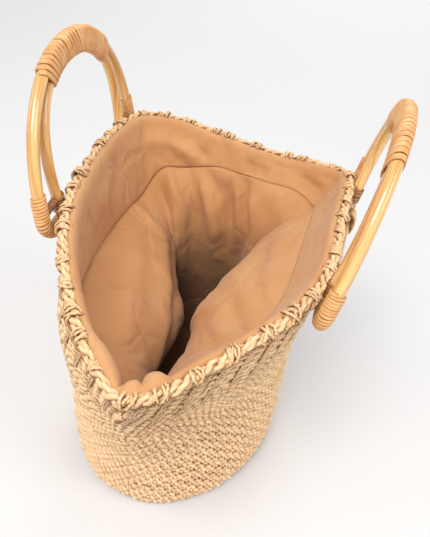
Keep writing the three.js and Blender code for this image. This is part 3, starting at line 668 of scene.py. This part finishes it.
# Creases in each sheet: how far they stand inward and how wide they are, in millimetres, and
# their course in shares of the way round and down the facing, or round and up the bag.
CREASES = {
    "facing": [
        (3.5, 7, [(0.615, 0.28), (0.575, 0.38), (0.550, 0.55), (0.525, 0.86)]),
        (-3, 6, [(0.539, 0.31), (0.525, 0.86)]),
        (-4, 5, [(0.417, 0.10), (0.401, 0.38), (0.382, 0.55)]),
        (2.5, 8, [(0.725, 0.24), (0.749, 0.59)]),
        (-2.5, 7, [(0.685, 0.00), (0.696, 0.41), (0.718, 0.59)]),
        (-2, 6, [(0.776, 0.28), (0.803, 0.52)]),
        (-2, 4, [(0.474, 0.05), (0.470, 0.95)]),
        (-2.5, 3, [(0.458, 0.05), (0.459, 0.95)]),
    ],
    "bag": [
        (3.5, 4, [(0.679, 0.85), (0.740, 0.83), (0.818, 0.83), (0.861, 0.80), (0.894, 0.77),
                  (0.921, 0.73)]),
        (-3.5, 5, [(0.601, 0.83), (0.650, 0.78), (0.726, 0.76), (0.811, 0.80), (0.851, 0.79),
                   (0.883, 0.74)]),
        (3.5, 5, [(0.672, 0.97), (0.683, 0.92), (0.679, 0.85)]),
        (3, 5, [(0.588, 1.00), (0.581, 0.93), (0.562, 0.86), (0.553, 0.75)]),
        (-3, 5, [(0.608, 0.97), (0.608, 0.90), (0.601, 0.83)]),
        (-6, 5, [(0.476, 0.99), (0.469, 0.89), (0.464, 0.82), (0.467, 0.71), (0.476, 0.61)]),
        (4, 4, [(0.463, 0.96), (0.460, 0.88), (0.458, 0.82)]),
        (5, 5, [(0.490, 0.98), (0.481, 0.91), (0.475, 0.83), (0.474, 0.73), (0.482, 0.63)]),
        (-3, 6, [(0.499, 0.94), (0.492, 0.86), (0.490, 0.76)]),
        (4, 5, [(0.400, 1.00), (0.389, 0.98)]),
        (3, 7, [(0.322, 0.92), (0.272, 0.94), (0.222, 0.95), (0.193, 0.96)]),
        (-3.5, 6, [(0.312, 0.90), (0.251, 0.92), (0.194, 0.94), (0.161, 0.97)]),
        (3.5, 6, [(0.267, 0.84), (0.218, 0.91), (0.169, 0.96)]),
        (-4, 6, [(0.207, 0.88), (0.156, 0.92), (0.136, 0.97)]),
        (2.5, 4, [(0.121, 0.89), (0.129, 0.90), (0.129, 0.94)]),
        (-2.5, 5, [(0.133, 0.84), (0.111, 0.92), (0.107, 0.97)]),
        (-3.5, 9, [(0.765, 0.95), (0.819, 0.96), (0.864, 0.96)]),
        (3, 8, [(0.746, 0.92), (0.811, 0.92), (0.867, 0.91), (0.900, 0.90)]),
        (-2.5, 7, [(0.753, 0.89), (0.812, 0.88), (0.863, 0.87)]),
        (-1.5, 3, [(0.911, 0.95), (0.914, 0.90), (0.904, 0.84)]),
        (3, 6, [(0.540, 0.99), (0.524, 0.90), (0.511, 0.80), (0.504, 0.68)]),
        (-3, 6, [(0.528, 0.99), (0.510, 0.91), (0.499, 0.81)]),
        (2.5, 6, [(0.433, 1.00), (0.432, 0.95), (0.438, 0.86)]),
        (-2.5, 5, [(0.444, 0.94), (0.446, 0.86)]),
    ],
}
# Shares of the way round: even, and closer together at the near end where the edge puffs up.
even_places = np.arange(380) / 380
near_places = (np.arange(72) + 0.5) / 72 * 0.07 - 0.02
CLOTH_PLACES = np.sort(np.concatenate([even_places, near_places]) % 1.0)
CLOTH_COLUMNS = len(CLOTH_PLACES)
# points along a crease's course, and how much it is deepened against the soft wrinkles
CREASE_STOPS, CREASE_GAIN = 110, 1.6


def facing_at(column, turn):
    """A column of the facing's course at turns, eased from one of its rows to the next."""
    angle = np.degrees(turn) % 360
    turns = FACING_COURSE[:, 0]
    here = np.searchsorted(turns, angle, side="right") - 1
    after = (here + 1) % len(turns)
    span = (turns[after] - turns[here]) % 360
    ease = smooth_step(0, 1, ((angle - turns[here]) % 360) / span)
    values = FACING_COURSE[:, column]
    return values[here] + (values[after] - values[here]) * ease


def seam_rise(turn):
    """The seam between facing and bag, as a rise of the wall."""
    return 1 - FACING_DEPTH * facing_at(1, turn) / WALL_HEIGHT


def seam_pull(turn):
    """How far the seam is pulled in from the wall, in millimetres."""
    return FACING_PULL * facing_at(2, turn)


def fold_depth(turn, rise):
    """How far the bag's large folds fall inward, in millimetres."""
    depth = np.zeros_like(turn)
    for place, spread, bottom, reach in LINING_FOLDS:
        across = np.exp(-(turn_gap(turn, place) / spread) ** 2)
        share = np.clip((rise - bottom) / (seam_rise(turn) - bottom), 0, 1)
        depth = depth + reach * MOUTH_HALF[0] * across * np.sin(np.pi * share ** 2)
    return depth


def cloth_sheet(name, points, faces, finish):
    """A sheet of cloth that faces the bag's inside and has its thickness behind it."""
    thing = solid_object(name, points, faces)
    thick = thing.modifiers.new("thickness", "SOLIDIFY")
    thick.thickness = CLOTH_THICKNESS * MM
    thick.offset = -1.0
    evaluated = thing.evaluated_get(bpy.context.evaluated_depsgraph_get())
    mesh = bpy.data.meshes.new_from_object(evaluated)
    mesh.name = name
    thing.modifiers.clear()
    thing.data = mesh
    thing.data.materials.clear()
    thing.data.materials.append(finish)
    return thing


# Lining cloth: thin plain-woven polyester-cotton, dyed tan. Matt, a trace of sheen, threads as
# grains of about 1 mm, coarser than real ones so that they just show, and pressed lines from
# lying folded, 30 to 60 mm apart. Low down in the bag its colour is drawn towards a dark brown, painted shade
# of the hollow.
def cloth_finish():
    material, tree, shader = new_material(
        "plain woven tan lining", Roughness=0.85, Specular_IOR_Level=0.25, Sheen_Weight=0.15)
    where = add_node(tree, "ShaderNodeTexCoord")
    weave = add_node(tree, "ShaderNodeTexNoise", [("Vector", where, "Object")], in_Scale=900.0, in_Detail=2.0)
    soft = add_node(tree, "ShaderNodeTexNoise", [("Vector", where, "Object")], in_Scale=14.0, in_Detail=3.0)
    ramp = add_node(tree, "ShaderNodeValToRGB", [(0, soft, 0)], stops=[(0.3, "BA8657"), (0.7, "C9996B")])
    # painted shade: below 0.17 m the cloth's colour is drawn towards a dark brown, darkest at 0.09 m and
    # below
    height = add_node(tree, "ShaderNodeSeparateXYZ", [(0, where, "Object")])
    painted_shade_depth = add_node(tree, "ShaderNodeMapRange", [(0, height, "Z")], in_1=0.09, in_2=0.17, in_3=0.3, in_4=1.0)
    painted_shade_mix = add_node(tree, "ShaderNodeMix", [(0, painted_shade_depth, 0), (7, ramp, 0)], data_type="RGBA",
                     in_6=linear("532D1A"))
    tree.links.new(painted_shade_mix.outputs[2], shader.inputs["Base Color"])
    bend = add_node(tree, "ShaderNodeTexNoise", [("Vector", where, "Object")], in_Scale=22.0, in_Detail=2.0)
    bent = add_node(tree, "ShaderNodeVectorMath", [(0, bend, "Color"), (2, where, "Object")],
                    operation="MULTIPLY_ADD", in_1=(0.05, 0.05, 0.02))
    drawn = add_node(tree, "ShaderNodeMapping", [("Vector", bent, 0)], in_Scale=(1.0, 1.0, 0.55))
    press = add_node(tree, "ShaderNodeTexVoronoi", [("Vector", drawn, 0)],
                     feature="DISTANCE_TO_EDGE", in_Scale=26.0)
    crease = add_node(tree, "ShaderNodeMapRange", [(0, press, 0)],
                      interpolation_type="SMOOTHSTEP", in_1=0.0, in_2=0.16)
    pressed = add_node(tree, "ShaderNodeBump", [("Height", crease, 0)], in_Strength=0.4, in_Distance=0.0022)
    relief = add_node(tree, "ShaderNodeBump", [("Height", weave, 0), ("Normal", pressed, 0)],
                      in_Strength=0.25, in_Distance=0.0004)
    tree.links.new(relief.outputs[0], shader.inputs["Normal"])
    return material


lining_cloth = cloth_finish()


def facing_at_share(s, share):
    """Points of the facing at shares of the way down from the rim to the seam."""
    turn = rim_turn(s)
    inset = WALL_THICKNESS + CLOTH_LOOSENESS + share * seam_pull(turn)
    return wall_at(s, 1 - share * (1 - seam_rise(turn)), inset)


def bag_at_level(s, level):
    """Points of the bag at levels from the floor, 0, up to the seam, 1."""
    turn = rim_turn(s)
    rise = level * (seam_rise(turn) - SEAM_GAP / WALL_HEIGHT)
    inset = WALL_THICKNESS + CLOTH_LOOSENESS + seam_pull(turn) * rise ** 2 + fold_depth(turn, rise)
    points = wall_at(s, rise, inset)
    points[..., 2] = np.maximum(points[..., 2], LINING_FLOOR_LIFT)
    return points


def soft_wrinkles(points):
    """Small irregular puckers of hanging cloth, drawn out along its fall, in millimetres."""
    flat = points.reshape(-1, 3)
    broad = np.array([noise.noise(Vector((x / 34, y / 34, z / 70))) for x, y, z in flat])
    sharp = np.array([noise.noise(Vector((x / 19 + 7, y / 19, z / 48))) for x, y, z in flat])
    pucker = np.maximum(1 - 3.2 * np.abs(sharp), 0) ** 2
    return (1.2 * broad + 1.5 * pucker).reshape(points.shape[:-1])


def eased(field, times):
    """A grid of values, each drawn towards the mean of its four neighbours."""
    for _ in range(times):
        beside = (np.roll(field, 1, axis=1) + np.roll(field, -1, axis=1)) / 2
        ends = np.concatenate([field[:1], field, field[-1:]])
        field = (2 * field + beside + (ends[2:] + ends[:-2]) / 2) / 4
    return field


def creased(points, kind, course, calm, room):
    """Presses the sheet's creases and soft wrinkles into a grid of its points. The calm share
    stills its sewn edges, and room is how far it may go out before it meets the wall."""
    around = np.roll(points, -1, axis=1) - np.roll(points, 1, axis=1)
    inward = np.cross(np.gradient(points, axis=0), around)
    inward = eased(inward / np.linalg.norm(inward, axis=-1, keepdims=True), 8)
    inward /= np.linalg.norm(inward, axis=-1, keepdims=True)
    inward *= np.sign(np.sum(inward[0] * -rim_outward(CLOTH_PLACES)))
    depth = soft_wrinkles(points) * (0.4 if kind == "facing" else 1.0)
    for reach, width, stops in CREASES[kind]:
        line = smooth_course(stops, CREASE_STOPS)
        line = course(line[:, 0], line[:, 1])
        gap = np.linalg.norm((points[:, :, None] - line).astype(np.float32), axis=-1)
        nearest = gap.argmin(axis=-1)
        strength = 0.35 + 0.65 * np.sin(np.pi * nearest / (CREASE_STOPS - 1))
        depth += CREASE_GAIN * reach * strength * np.exp(-(gap.min(axis=-1) / width) ** 1.3)
    return points + inward * np.maximum(eased(depth, 3) * calm, -room)[..., None]


# Where the sheet's edge puffs up over the border at the near end: place, width, height.
EDGE_PUFFS = [(0.0055, 0.0082, 0.9), (0.0255, 0.009, 1.0), (-0.036, 0.02, 0.5), (0.058, 0.02, 0.2)]
# inset and height over the wall's top, from the sewn edge inward
FLAT_EDGE = [(3.0, 5.6), (4.4, 6.8), (6.2, 5.6), (7.5, 2.8)]
PUFFED_EDGE = [(2.5, 6.0), (2.5, 10.5), (8.0, 12.5), (13.5, 7.0)]
PUFF_REACH = 8.0
from_tip = (CLOTH_PLACES + 0.5) % 1.0 - 0.5
puff = sum(height * np.exp(-np.abs((from_tip - place) / width) ** 3) for place, width, height in EDGE_PUFFS)
flat_edge, puffed_edge = smooth_course(FLAT_EDGE, 9), smooth_course(PUFFED_EDGE, 9)
facing_rows = []
for flat_spot, puffed_spot in zip(flat_edge, puffed_edge):
    inset = flat_spot[0] + (puffed_spot[0] - flat_spot[0]) * puff
    row = wall_at(CLOTH_PLACES, 1.0, inset)
    row[:, 2] += flat_spot[1] + (puffed_spot[1] - flat_spot[1]) * puff
    facing_rows.append(row)
facing_shares = np.linspace(0, 1, 18)
hanging = np.stack([facing_at_share(CLOTH_PLACES, share) for share in facing_shares])
fall = np.clip(facing_shares / 0.3, 0, 1) * np.clip((1 - facing_shares) / 0.12, 0, 1)
calm = np.broadcast_to(fall[:, None], hanging.shape[:2])
room = 1.0 + facing_shares[:, None] * seam_pull(rim_turn(CLOTH_PLACES))
hanging = creased(hanging, "facing", facing_at_share, calm, room)
pushed = PUFF_REACH * puff * np.clip(1 - facing_shares[:, None] / 0.4, 0, 1)
hanging -= rim_outward(CLOTH_PLACES) * pushed[..., None]
facing_points = np.vstack(facing_rows + list(hanging))
facing_quads = [face[::-1] for face in grid_faces(len(facing_rows) + len(hanging), CLOTH_COLUMNS)]
lining_facing = cloth_sheet("lining_facing_cloth", facing_points, facing_quads, lining_cloth)

bag_levels = np.concatenate([np.linspace(1, 0.3, 58), np.linspace(0.27, 0.045, 8)])
bag = np.stack([bag_at_level(CLOTH_PLACES, level) for level in bag_levels])
calm = np.clip((1 - bag_levels) / 0.02, 0, 1) * np.clip((bag_levels - 0.1) / 0.15, 0, 1)
turns = np.broadcast_to(rim_turn(CLOTH_PLACES), bag.shape[:2])
rises = bag_levels[:, None] * seam_rise(turns)
room = 1.0 + seam_pull(turns) * rises ** 2 + fold_depth(turns, rises)
bag = creased(bag, "bag", bag_at_level, np.broadcast_to(calm[:, None], bag.shape[:2]), room)
foot = bag[-1].mean(axis=0)
bag_rows = list(bag) + [foot + (bag[-1] - foot) * share for share in (0.75, 0.5, 0.25)]
bag_points = np.vstack(bag_rows + [foot[None, :]])
bag_quads = [face[::-1] for face in grid_faces(len(bag_rows), CLOTH_COLUMNS)]
last_row = (len(bag_rows) - 1) * CLOTH_COLUMNS
bag_quads += [(last_row + (i + 1) % CLOTH_COLUMNS, last_row + i, len(bag_points) - 1)
              for i in range(CLOTH_COLUMNS)]
lining_bag = cloth_sheet("lining_bag_cloth", bag_points, bag_quads, lining_cloth)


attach(lining_facing, "root")
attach(lining_bag, "root")
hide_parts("lining_facing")
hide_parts("lining_bag_left", "lining_bag_right", "lining_floor")

# ---------------------------------------------------------------------------
# The two handles: a hoop of steam-bent rattan with a straight bar, and a second cane arched
# under it that stands on the bar. Honey-coloured, scraped and varnished.
# ---------------------------------------------------------------------------
HANDLES = {
    "left": dict(side=-1, across=-90.5, along=16.0, turn=math.radians(-3.7), lean=math.radians(9)),
    "right": dict(side=1, across=110.0, along=-2.0, turn=0.0, lean=math.radians(10.7)),
}
HOOP_HALF_WIDTH, HOOP_HEIGHT, HOOP_CORNER = 88.0, 109.0, 13.0
HOOP_RADIUS, ARCH_RADIUS, ARCH_SPREAD = 4.3, 4.0, 17.0
HANDLE_LIFT, GRIP_START, GRIP_END = 235.0, 47.0, 119.0
GAP = 0.35
# the bow's outline is an oval drawn out towards a box by these powers
BOW_POWERS = (0.94, 0.85)


def handle_axes(handle):
    """Directions along the bar, up the handle's plane and out of its face."""
    along = np.array([math.sin(handle["turn"]), math.cos(handle["turn"]), 0])
    outward = np.array([math.cos(handle["turn"]), -math.sin(handle["turn"]), 0]) * handle["side"]
    upward = np.array([0, 0, 1]) * math.cos(handle["lean"]) + outward * math.sin(handle["lean"])
    face = outward * math.cos(handle["lean"]) - np.array([0, 0, 1]) * math.sin(handle["lean"])
    return along, upward, face


def in_handle(handle, outline):
    """Points of the handle's own plane, (run, rise) rows, as points of the bag."""
    along, upward, _ = handle_axes(handle)
    origin = np.array([handle["across"], handle["along"], HANDLE_LIFT])
    outline = np.asarray(outline)
    return origin + outline[:, :1] * along + outline[:, 1:2] * upward


def bow_point(angle):
    """Points of the hoop's bow at angles in degrees, as (run, rise) in the handle's plane."""
    cosine, sine = np.cos(np.radians(angle)), np.maximum(np.sin(np.radians(angle)), 0)
    run = HOOP_HALF_WIDTH * np.sign(cosine) * np.abs(cosine) ** BOW_POWERS[0]
    return np.stack([run, HOOP_HEIGHT * sine ** BOW_POWERS[1]], axis=-1)


# where the bow ends at the corners' height, and where the corners' centres are
BOW_START = math.degrees(math.asin((HOOP_CORNER / HOOP_HEIGHT) ** (1 / BOW_POWERS[1])))
CORNER_RUN = float(bow_point(BOW_START)[0]) - HOOP_CORNER


def corner_points(run, first, last, steps=9):
    """A rounded lower corner of the hoop about a run, between two angles in degrees."""
    a = np.radians(np.linspace(first, last, steps))
    return np.stack([run + HOOP_CORNER * np.cos(a), HOOP_CORNER * (1 + np.sin(a))], axis=-1)


def hoop_outline():
    """The closed D: bow, near corner, straight bar, far corner."""
    bow = bow_point(np.linspace(BOW_START, 180 - BOW_START, 90))
    bar = np.stack([np.linspace(-CORNER_RUN, CORNER_RUN, 30)[1:-1], np.zeros(28)], axis=-1)
    near = corner_points(-CORNER_RUN, 180, 270)[1:]
    far = corner_points(CORNER_RUN, 270, 360)[:-1]
    return np.vstack([bow, near, bar, far])


def under_bow(angle, offset):
    """Points at an offset inside the bow."""
    ahead = bow_point(angle + 1) - bow_point(angle - 1)
    ahead = ahead / np.linalg.norm(ahead, axis=-1, keepdims=True)
    inward = np.stack([-ahead[..., 1], ahead[..., 0]], axis=-1)
    return bow_point(angle) + inward * np.asarray(offset)[..., None]


def arch_outline():
    """The second cane: close under the bow at the grip, away from it to its feet on the bar."""
    angle = np.linspace(BOW_START, 180 - BOW_START, 90)
    far = np.maximum(GRIP_START - angle, 0) / (GRIP_START - BOW_START)
    near = np.maximum(angle - GRIP_END, 0) / (180 - BOW_START - GRIP_END)
    offset = HOOP_RADIUS + ARCH_RADIUS + GAP + ARCH_SPREAD * np.maximum(far, near) ** 1.3
    course = under_bow(angle, offset)
    foot = HOOP_RADIUS - 1.0
    return np.vstack([[(course[0][0], foot)], course, [(course[-1][0], foot)]])


# Rattan cane: peeled, scraped and varnished. Honey yellow with lengthwise fibres about 1 mm
# wide, paler and darker streaks 4 mm wide; the varnish gives a long sharp highlight.
def rattan_finish():
    material, tree, shader = new_material(
        "varnished rattan cane", Roughness=0.38, Coat_Weight=1.0, Coat_Roughness=0.1)
    fibre = fibre_noise(tree, 0.03, 1100.0, 4.0)
    broad = fibre_noise(tree, 0.03, 240.0, 2.0)
    both = add_node(tree, "ShaderNodeMath", [(0, fibre, 0), (2, broad, 0)],
                    operation="MULTIPLY_ADD", in_1=0.6)
    ramp = add_node(tree, "ShaderNodeValToRGB", [(0, both, 0)], stops=[(0.6, "C0803A"), (0.95, "EAC27E")])
    tree.links.new(ramp.outputs[0], shader.inputs["Base Color"])
    relief = add_node(tree, "ShaderNodeBump", [("Height", fibre, 0)], in_Strength=0.15, in_Distance=0.0003)
    tree.links.new(relief.outputs[0], shader.inputs["Normal"])
    return material


rattan = rattan_finish()
for name, handle in HANDLES.items():
    for word, outline, radius, closed in (("hoop", hoop_outline(), HOOP_RADIUS, True),
                                          ("arch", arch_outline(), ARCH_RADIUS, False)):
        cane = laid_rope(f"{name}_{word}_cane", [(in_handle(handle, outline), radius, 0, closed)], rattan,
                         plies=1, groove=0.0, section_points=20)
        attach(cane, "root")
        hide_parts(f"{name}_{word}")

# ---------------------------------------------------------------------------
# Peel windings: flat strips split from the cane's skin, soaked and wound tight round the grip,
# the lower corners and the feet of the inner arch. Half matt, each turn a little proud.
# ---------------------------------------------------------------------------
# across and up, in shares of a strip's width and thickness
STRIP_SECTION = np.array([(-0.5, 0.0), (-0.43, 0.72), (-0.15, 1.0), (0.2, 1.0), (0.45, 0.7), (0.5, 0.0)])
STRIP_MEAN_WIDTH = 4.0


def path_frames(handle, outline, samples=200):
    """Even frames along an outline of the handle: places, directions inward in the handle's
    plane and out of its face, and the outline's length."""
    points = in_handle(handle, outline)
    length = np.concatenate([[0], np.cumsum(np.linalg.norm(np.diff(points, axis=0), axis=1))])
    even = np.linspace(0, length[-1], samples)
    points = np.column_stack([np.interp(even, length, points[:, k]) for k in range(3)])
    along = np.gradient(points, axis=0)
    along /= np.linalg.norm(along, axis=1, keepdims=True)
    face = np.broadcast_to(handle_axes(handle)[2], along.shape)
    inward = np.cross(face, along)
    return points, inward, face, length[-1]


def wound_strip(frames, radius, winding, chance, straight=0.0, steps=22):
    """One strip wound round a path: its section's points ring by ring, in millimetres. Round
    two canes that touch, straight is how far each one's centre is from the path."""
    points, inward, face, length = frames
    pitch, width, thickness, lean = winding
    turns = max(int(round((length - width) / pitch)), 1)
    t = np.linspace(0, turns, turns * steps + 1)
    phi = 2 * np.pi * t
    drift = np.interp(t, np.arange(turns + 1), chance.normal(size=turns + 1) * 0.1 * pitch)
    u = (width / 2 + t / turns * (length - width) + lean * np.cos(phi) + drift) / length
    u = np.clip(u, 0, 1) * (len(points) - 1)
    low = np.clip(np.floor(u).astype(int), 0, len(points) - 2)
    part = (u - low)[:, None]
    place, into, out = (a[low] * (1 - part) + a[low + 1] * part for a in (points, inward, face))
    rise = radius + 0.12 * np.interp(t, np.arange(turns + 1), chance.normal(size=turns + 1))
    normal = into * np.cos(phi)[:, None] + out * np.sin(phi)[:, None]
    shift = straight * np.clip(1.6 * np.cos(phi), -1, 1)
    centre = place + normal * rise[:, None] + into * shift[:, None]
    travel = np.gradient(centre, axis=0)
    travel /= np.linalg.norm(travel, axis=1, keepdims=True)
    broad = np.cross(normal, travel)
    rings = [centre + broad * (a * width) + normal * (b * thickness) for a, b in STRIP_SECTION]
    return np.stack(rings, axis=1)


def strip_object(name, strips, finish):
    """Joins wound strips into one mesh object with closed ends."""
    points, faces, shift, runs = [], [], 0, []
    for rings in strips:
        count, section = rings.shape[:2]
        points.append(rings.reshape(-1, 3))
        for r in range(count - 1):
            for i in range(section):
                j = (i + 1) % section
                a, b = shift + r * section, shift + (r + 1) * section
                faces.append((a + i, b + i, b + j, a + j))
        faces.append(tuple(shift + i for i in range(section)))
        faces.append(tuple(shift + (count - 1) * section + i for i in reversed(range(section))))
        step = np.linalg.norm(np.diff(rings[:, 2], axis=0), axis=1)
        run = np.concatenate([[0], np.cumsum(step)])
        local = np.zeros((count, section, 3))
        local[:, :, 0] = STRIP_SECTION[:, 0] * STRIP_MEAN_WIDTH
        local[:, :, 1] = shift * 0.37 % 50
        local[:, :, 2] = run[:, None]
        runs.append(local.reshape(-1, 3) * MM)
        shift += count * section
    thing = solid_object(name, np.vstack(points), faces)
    thing.data.materials.append(finish)
    place = thing.data.attributes.new("straight_place", "FLOAT_VECTOR", "POINT")
    place.data.foreach_set("vector", np.vstack(runs).ravel())
    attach(thing, "root")
    return thing


# Rattan peel: the cane's hard skin, split and shaved to a strip. Half matt with a thin natural
# gloss and lengthwise fibres under 1 mm wide, and darker along both edges, painted shade of the grooves
# between the turns.
def peel_finish(name, light, middle, groove):
    material, tree, shader = new_material(name, Roughness=0.5, Coat_Weight=0.2, Coat_Roughness=0.3)
    fibre = fibre_noise(tree, 0.05, 1500.0, 3.0)
    where = add_node(tree, "ShaderNodeTexCoord")
    patch = add_node(tree, "ShaderNodeTexNoise", [("Vector", where, "Object")], in_Scale=120.0, in_Detail=2.0)
    both = add_node(tree, "ShaderNodeMath", [(0, fibre, 0), (1, patch, 0)], operation="ADD")
    halved = add_node(tree, "ShaderNodeMath", [(0, both, 0)], operation="MULTIPLY", in_1=0.5)
    ramp = add_node(tree, "ShaderNodeValToRGB", [(0, halved, 0)], stops=[(0.36, middle), (0.66, light)])
    place = add_node(tree, "ShaderNodeAttribute", attribute_name="straight_place")
    parts = add_node(tree, "ShaderNodeSeparateXYZ", [(0, place, "Vector")])
    across = add_node(tree, "ShaderNodeMath", [(0, parts, "X")], operation="ABSOLUTE")
    # painted shade: near both edges the strip turns to the groove colour, as shade in the grooves between
    # turns
    edge = add_node(tree, "ShaderNodeMapRange", [(0, across, 0)], in_1=0.0014, in_2=0.0021)
    painted_shade_edged = add_node(tree, "ShaderNodeMix", [(0, edge, 0), (6, ramp, 0)], data_type="RGBA",
                     in_7=linear(groove))
    tree.links.new(painted_shade_edged.outputs[2], shader.inputs["Base Color"])
    relief = add_node(tree, "ShaderNodeBump", [("Height", fibre, 0)], in_Strength=0.3, in_Distance=0.0003)
    tree.links.new(relief.outputs[0], shader.inputs["Normal"])
    return material


peel = peel_finish("split rattan peel", "E7B67B", "C58648", "A1622A")
# painted shade: a darker copy of the peel, for the ties, which lie in shadow
painted_shade_peel = peel_finish("rattan peel darkened as painted shade", "B27C4C", "8F5C33", "5A351C")
BINDING_RUN, BINDING_END = 12.0, 14.0
TIE_RISE, TIE_RADIUS = 15.0, 3.0
# pitch, width, thickness and lean of each winding, in millimetres
GRIP_WINDING, BINDING_WINDING = (4.0, 4.4, 1.3, 1.6), (2.4, 2.6, 1.2, 0.5)
COLLAR_WINDING, BRACE_WINDING, BRACE_RADIUS = (3.0, 3.2, 1.2, 0.4), (2.8, 3.0, 1.1, 0.3), 1.9
GRIP_SAMPLES, TIE_SAMPLES, BRACE_STEPS = 60, 60, 14
for name, handle in HANDLES.items():
    chance = np.random.default_rng(21 if name == "left" else 22)
    grip_turns = np.linspace(GRIP_START, GRIP_END, GRIP_SAMPLES)
    grip_course = under_bow(grip_turns, np.full(GRIP_SAMPLES, ARCH_RADIUS + GAP / 2))
    grip_frames = path_frames(handle, grip_course)
    grip_strip = wound_strip(grip_frames, HOOP_RADIUS + 0.1, GRIP_WINDING, chance, ARCH_RADIUS + GAP / 2)
    grip = strip_object(f"{name}_grip_peel", [grip_strip], peel)
    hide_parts(f"{name}_grip_wrap")
    for word, end in (("near", -1), ("far", 1)):
        corner = corner_points(CORNER_RUN, 270, 360)
        rest = bow_point(np.linspace(BOW_START, BINDING_END, 5))[1:]
        course = np.vstack([[(CORNER_RUN - BINDING_RUN, 0)], corner, rest]) * (end, 1)
        strip = wound_strip(path_frames(handle, course), HOOP_RADIUS, BINDING_WINDING, chance)
        binding = strip_object(f"{name}_{word}_binding_peel", [strip], peel)
        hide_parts(f"{name}_{word}_binding")
        foot = arch_outline()[0 if end > 0 else -1]
        low = HOOP_RADIUS + 1.2
        collar = np.array([(foot[0], low), (foot[0], low + TIE_RISE)])
        arm = np.array([
            (foot[0] + end * ARCH_RADIUS * 0.6, low + TIE_RISE - TIE_RADIUS),
            (end * (HOOP_HALF_WIDTH - HOOP_RADIUS * 0.6), HOOP_CORNER + TIE_RADIUS),
        ])
        collar_frames, arm_frames = (path_frames(handle, way, TIE_SAMPLES) for way in (collar, arm))
        strips = [
            wound_strip(collar_frames, ARCH_RADIUS, COLLAR_WINDING, chance),
            wound_strip(arm_frames, BRACE_RADIUS, BRACE_WINDING, chance, steps=BRACE_STEPS),
        ]
        tie = strip_object(f"{name}_{word}_tie_peel", strips, painted_shade_peel)
        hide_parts(f"{name}_{word}_tie")

# ---------------------------------------------------------------------------
# The lashings: straw rope passed three times round the bar and through the wall's top rows and
# drawn tight, which holds each handle close on the outside of the basket.
# ---------------------------------------------------------------------------
# the loops' height, their rope and how far apart they lie; their place along the bar in shares
# of its half; and the power that squares them off
LASHING_HEIGHT, LASHING_ROPE, LASHING_PITCH, LASHING_PLACE, LASHING_POWER = 17.0, 1.7, 3.4, 0.42, 0.6
# how far a loop reaches from the bar's middle outward, and inward to the wall's middle
LOOP_OUTER, LOOP_INNER = HOOP_RADIUS + 1.6, HOOP_RADIUS + GAP + WALL_THICKNESS / 2
LOOP_HALF = (LOOP_OUTER + LOOP_INNER) / 2
loop_turn = np.linspace(0, 2 * np.pi, 28, endpoint=False)
loop_across, loop_up = (half * np.sign(wave) * np.abs(wave) ** LASHING_POWER for half, wave in (
    (LOOP_HALF, np.cos(loop_turn)), (LASHING_HEIGHT / 2, np.sin(loop_turn))))
for name, handle in HANDLES.items():
    towards, up = np.array([-handle["side"], 0, 0]), np.array([0, 0, 1])
    for word, place in (("near", -LASHING_PLACE), ("far", LASHING_PLACE)):
        ropes = []
        for shift in (-LASHING_PITCH, 0.0, LASHING_PITCH):
            middle = in_handle(handle, [(place * HOOP_HALF_WIDTH + shift, 0)])[0]
            centre = middle + towards * (LOOP_INNER - LOOP_HALF) + up * (LASHING_HEIGHT / 2 - LOOP_OUTER)
            points = centre + loop_across[:, None] * towards + loop_up[:, None] * up
            ropes.append((points, LASHING_ROPE, 2 * loop_turn, True))
        lashing = laid_rope(f"{name}_{word}_lashing_rope", ropes, border_straw, seed=31)
        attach(lashing, "root")
        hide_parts(f"{name}_{word}_lashing")
